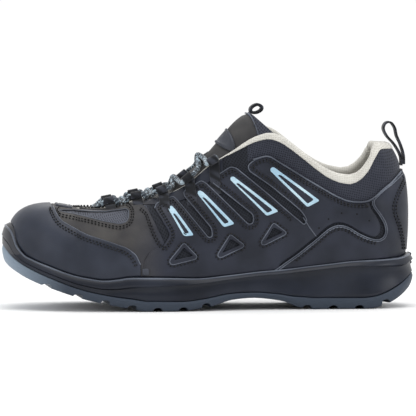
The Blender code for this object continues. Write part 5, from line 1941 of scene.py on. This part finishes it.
def eyestays():
    """Dark film along the throat, under the lace straps."""
    start, end = THROAT_X + 0.004, 0.028 * LENGTH
    for side in SIDES:
        rows = []
        for k in range(61):
            x = start + (end - start) * k / 60
            g = place_to_g(x)
            wide = 0.0028 + 0.0092 * smooth((x + 0.070) / 0.05)
            edge = [(0.0007, -0.0002), (0.0007, 0.6), (0.0011, 1.0), (0.4 * wide, 1.0)]
            edge += [(wide - 0.0005, 1.0), (wide, 0.6), (wide, -0.0002)]
            rows.append([(side, g, v_below(side, g, d), 0.0009 * share) for d, share in edge])
        laid_sheet(f"eyestay_{NAMES[side]}", rows, FILM_BACK, SIDE_FILM)


def stitch_tree():
    """Nodes that set stitches of one thread along every edge path of a mesh, a pitch apart."""
    tree = bpy.data.node_groups.new("stitches_along_rows", "GeometryNodeTree")
    sockets = {}
    for name, kind in (
        ("Rows", "NodeSocketGeometry"),
        ("Pitch", "NodeSocketFloat"),
        ("Stitch length", "NodeSocketFloat"),
        ("Thread thickness", "NodeSocketFloat"),
        ("Seed", "NodeSocketInt"),
        ("Thread", "NodeSocketMaterial"),
    ):
        socket = tree.interface.new_socket(name=name, in_out="INPUT", socket_type=kind)
        sockets[name] = socket.identifier
    tree.interface.new_socket(name="Stitches", in_out="OUTPUT", socket_type="NodeSocketGeometry")
    given = add(tree, "NodeGroupInput").outputs
    curves = add(tree, "GeometryNodeMeshToCurve", {"Mesh": given["Rows"]}).outputs["Curve"]
    links = {"Curve": curves, "Length": given["Pitch"]}
    spots = add(tree, "GeometryNodeCurveToPoints", links, mode="LENGTH").outputs
    links = {"Vector": spots["Tangent"]}
    turned = add(tree, "FunctionNodeAlignRotationToVector", links, axis="Z").outputs["Rotation"]
    links = {"Segments": 6, "Rings": 4, "Radius": 0.5}
    ball = add(tree, "GeometryNodeMeshUVSphere", links).outputs["Mesh"]
    thick = given["Thread thickness"]
    links = {"X": thick, "Y": thick, "Z": given["Stitch length"]}
    size = add(tree, "ShaderNodeCombineXYZ", links).outputs["Vector"]
    links = {"Geometry": ball, "Scale": size}
    stitch = add(tree, "GeometryNodeTransform", links).outputs["Geometry"]
    links = {2: 0.88, 3: 1.08, "Seed": given["Seed"]}
    vary = add(tree, "FunctionNodeRandomValue", links, data_type="FLOAT").outputs[1]
    links = {"Points": spots["Points"], "Instance": stitch, "Rotation": turned, "Scale": vary}
    placed = add(tree, "GeometryNodeInstanceOnPoints", links).outputs["Instances"]
    real = add(tree, "GeometryNodeRealizeInstances", {"Geometry": placed}).outputs["Geometry"]
    links = {"Geometry": real, "Material": given["Thread"]}
    sewn_mesh = add(tree, "GeometryNodeSetMaterial", links).outputs["Geometry"]
    add(tree, "NodeGroupOutput", {"Stitches": sewn_mesh})
    return tree, sockets


STITCHES, STITCH_SOCKETS = stitch_tree()


def sewn(name, rows, thread, pitch=0.0026, length=0.0017, thick=0.0012):
    """Stitches along rows as one plain mesh. Drawn about a quarter coarser than sewn."""
    points = []
    edges = []
    for row in rows:
        first = len(points)
        points += [tuple(point) for point in row]
        edges += [(first + k, first + k + 1) for k in range(len(row) - 1)]
    mesh = bpy.data.meshes.new(name)
    mesh.from_pydata(points, edges, [])
    made = bpy.data.objects.new(name, mesh)
    bpy.context.scene.collection.objects.link(made)
    modifier = made.modifiers.new("stitches", "NODES")
    modifier.node_group = STITCHES
    given = {"Pitch": pitch, "Stitch length": length, "Thread thickness": thick}
    for socket, value in (given | {"Seed": 7, "Thread": thread}).items():
        modifier[STITCH_SOCKETS[socket]] = value
    view = bpy.context.evaluated_depsgraph_get()
    plain = bpy.data.meshes.new_from_object(made.evaluated_get(view))
    made.modifiers.remove(modifier)
    made.data = plain
    plain.shade_smooth()
    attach(made, "root")


# Seam behind the vamp's film, seen as a row of stitches
VAMP_SEAM = (
    (-0.1725, 0.58), (-0.1571, 0.551), (-0.1527, 0.51), (-0.1403, 0.43), (-0.1279, 0.376),
    (-0.118, 0.364),
)


def runs_of(row, closed, side, bonded):
    """A row without the parts near the sole and those where the side film is only bonded."""
    runs = [[]]
    for spot in row + row[:1] if closed else row:
        g = g_of(spot)
        x = along(g) / LENGTH
        z = spot.y / COLLAR_HEIGHT
        low = spot.y < rand_height(side, g) + 0.0050
        glued = any(start < x < end and z < top for start, end, top in GLUED)
        if low or (bonded and glued):
            runs.append([])
        elif runs[-1] and (spot - runs[-1][-1]).length > 0.006:
            runs.append([spot])
        else:
            runs[-1].append(spot)
    return [run for run in runs if len(run) > 3]


def stitching():
    """All seams. Two rows run beside each film's edge and one row round each moulded triangle."""
    plans = [
        (CAP_EDGE, -0.0026, 0.0015, False),
        (CAP_EDGE, -0.0041, 0.0015, False),
        (CAGE, 0.0020, 0.0012, True),
        (VAMP_WINDOW, -0.0020, 0.0011, True),
        (CAGE, 0.0035, 0.0012, True),
        (VAMP_WINDOW, -0.0035, 0.0011, True),
    ]
    plans += [(rim, -0.0015, 0.0012, True) for rim, _ in MOULDED]
    plans += [
        (COUNTER_STITCH, 0.0004, 0.0015, False),
        (COUNTER_STITCH, -0.0011, 0.0015, False),
        (BACK_STRIP, -0.0014, 0.0015, False),
        (BACK_STRIP, 0.0010, 0.0021, False),
        (VAMP_SEAM, 0.0004, 0.0012, False),
        (VAMP_SEAM, -0.0011, 0.0012, False),
    ]
    for side in SIDES:
        place = side_spot(side)
        rows = []
        for table, inset, lift, closed in plans:
            row = beside(outline_of(table, side, 0.003, closed=closed), inset, closed)
            for run in runs_of(row, closed, side, table is CAGE):
                rows.append([place(spot, lift + 0.0003) for spot in run])
        sewn(f"seam_stitches_{NAMES[side]}", rows, DARK_THREAD)


# Punched holes in the side film, as shares of the length and of the collar's height
PINHOLES = (
    (0.3123, 0.5561), (0.3495, 0.5498), (0.2803, 0.5226), (0.3777, 0.5115), (0.2567, 0.4713),
)


def pinholes():
    """Small holes punched through the side film, drawn as near-black discs on it: painted shade in
    place of open holes.
    """
    for side in SIDES:
        place = side_spot(side)
        paths = []
        for across, height in PINHOLES:
            spot = Vector((arc_of(across * LENGTH), height * COLLAR_HEIGHT))
            paths.append([place(spot, lift) for lift in (0.0002, 0.0008, 0.00120)])
        rod(f"hole_shade_discs_{NAMES[side]}", paths, PUNCHED_HOLE_SHADE, 0.0013, 10)


def vamp_tab_film():
    """The small raised tab between the toe cap and the throat."""
    start = THROAT_X - TAB_LENGTH - TAB_THICK
    rows = []
    for k in range(25):
        g = place_to_g(start + TAB_LENGTH * k / 24)
        end = min(k, 24 - k) / 3
        dent = 0.0004 * math.exp(-((min(end * 3, 8) - 5) ** 2))
        row = []
        for j in range(-12, 13):
            t = abs(j) / 12
            rim = min(1.0, end, (1 - t) * 6)
            swell = TAB_THICK * (0.45 + 0.55 * math.sqrt(1 - (1 - rim) ** 2))
            side = LATERAL if j < 0 else MEDIAL
            row.append((side, g, 1 - 0.12 * t, FILM_SEAT + swell - dent))
        rows.append(row)
    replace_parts(laid_sheet("vamp_tab_film", rows, 0.0002, TOE_FILM), "vamp_tab")


def seam_studs():
    """A small moulded square on each side, where the toe seam meets the sole."""
    across_place, height = STUD_PLACE
    middle = Vector((arc_of(across_place * LENGTH), height * COLLAR_HEIGHT))
    ways = ((-1, -1), (1, -1), (1, 1), (-1, 1))
    corners = [middle + Vector(way) * STUD_SIZE / 2 for way in ways]
    outline = rounded(corners, 0.0012, 0.0006)
    for side in SIDES:
        name = f"seam_stud_{NAMES[side]}"
        film_piece(name, outline, [], BADGE, side_spot(side), 0.0012, 0.0012, 0.0006)


def tongue_badge():
    """A bare oval badge with a raised border on the tongue's free part."""
    xs = [0.006 + (TONGUE_END - 0.006) * k / 60 for k in range(61)]
    middle = min(xs, key=lambda x: abs(tongue_front(x, 0).z - BADGE_HEIGHT))
    rings = ((0.0, 0.0011), (0.35, 0.0011), (0.72, 0.0011), (0.78, 0.0016), (0.92, 0.0016))
    rings += ((1.0, 0.0011), (1.0, -0.0002), (0.5, -0.0002), (0.0, -0.0002))
    loops = []
    for share, lift in rings:
        loop = []
        for k in range(48):
            turn = 2 * math.pi * k / 48
            x = middle + 0.0044 * share * math.cos(turn)
            q = 0.66 * share * math.sin(turn)
            out = tongue_normal(min(x, TONGUE_END - 0.002), q)
            loop.append(tongue_front(x, q) + out * lift)
        loops.append(loop)
    piece("tongue_badge", tube(loops), BADGE, None, 50)


def studio():
    """Pale floor, soft light from above and both ends, long lens from the outer side."""
    white = bpy.data.materials.new("studio_paper")
    white.use_nodes = True
    paper = white.node_tree.nodes["Principled BSDF"]
    wire(white.node_tree, paper, {"Base Color": linear("#fbfbfb"), "Roughness": 0.9})
    mesh = bpy.data.meshes.new("studio_floor")
    reach = 0.9
    corners = [(-reach, -reach, 0), (reach, -reach, 0), (reach, reach, 0), (-reach, reach, 0)]
    mesh.from_pydata(corners, [], [(0, 1, 2, 3)])
    mesh.materials.append(white)
    floor = bpy.data.objects.new("studio_floor", mesh)
    bpy.context.scene.collection.objects.link(floor)
    lamps = (
        ("top_softbox", (0.0, -0.3, 1.5), 1.4, 12),
        ("toe_softbox", (-1.3, -0.9, 0.7), 0.9, 5),
        ("heel_softbox", (1.3, -0.8, 0.8), 0.9, 8),
        ("front_softbox", (-0.2, -1.9, 0.55), 1.1, 3.5),
        ("back_softbox", (0.2, 1.5, 1.2), 1.2, 5),
    )
    for name, place, size, power in lamps:
        light = bpy.data.lights.new(name, "AREA")
        light.shape = "DISK"
        light.size = size
        light.energy = power
        made = bpy.data.objects.new(name, light)
        made.location = place
        aim = Vector((0, 0, 0.05)) - Vector(place)
        made.rotation_euler = aim.to_track_quat("-Z", "Y").to_euler()
        bpy.context.scene.collection.objects.link(made)
    world = bpy.data.worlds.new("studio")
    bpy.context.scene.world = world
    world.use_nodes = True
    tree = world.node_tree
    back = tree.nodes["Background"]
    way = add(tree, "ShaderNodeTexCoord").outputs["Generated"]
    depth = add(tree, "ShaderNodeSeparateXYZ", {"Vector": way}).outputs["Y"]
    links = {"Value": depth, "From Min": -0.6, "From Max": 0.5, "To Min": 0.25, "To Max": 1.02}
    shade = add(tree, "ShaderNodeMapRange", links).outputs["Result"]
    seen = add(tree, "ShaderNodeLightPath").outputs["Is Camera Ray"]
    even = add(tree, "ShaderNodeMath", {0: shade, 1: seen}, operation="MAXIMUM")
    wire(tree, back, {"Color": (1, 1, 1, 1), "Strength": even.outputs["Value"]})
    scene = bpy.context.scene
    scene.view_settings.view_transform = "Standard"
    lens = bpy.data.cameras.new("camera")
    lens.sensor_width = 36
    distance = 3.0
    lens.lens = 36 * distance / VIEW_WIDTH
    camera = bpy.data.objects.new("camera", lens)
    turn, rise = math.radians(VIEW_TURN), math.radians(VIEW_RISE)
    level = math.cos(rise)
    back = Vector((math.sin(turn) * level, -math.cos(turn) * level, math.sin(rise)))
    camera.location = Vector(VIEW_CENTRE) + back * distance
    camera.rotation_mode = "QUATERNION"
    camera.rotation_quaternion = (-back).to_track_quat("-Z", "Y")
    scene.collection.objects.link(camera)
    scene.camera = camera


VIEW_WIDTH = 0.3033  # across the picture, at the shoe
VIEW_CENTRE = (0.0, 0.0, 0.0718)
VIEW_TURN = -5.0
VIEW_RISE = 2.8

upper_fabric()
midsole_cup()
footbed()
tongue_cover()
tread()
side_films()
vamp_film()
toe_cap_film()
edge_cords()
tongue_piping()
sole_lip()
bonded_edges()
rim_band()
heel_nubs()
laces()
straps()
pulls()
back_strip()
eyestays()
stitching()
pinholes()
vamp_tab_film()
seam_studs()
tongue_badge()
studio()
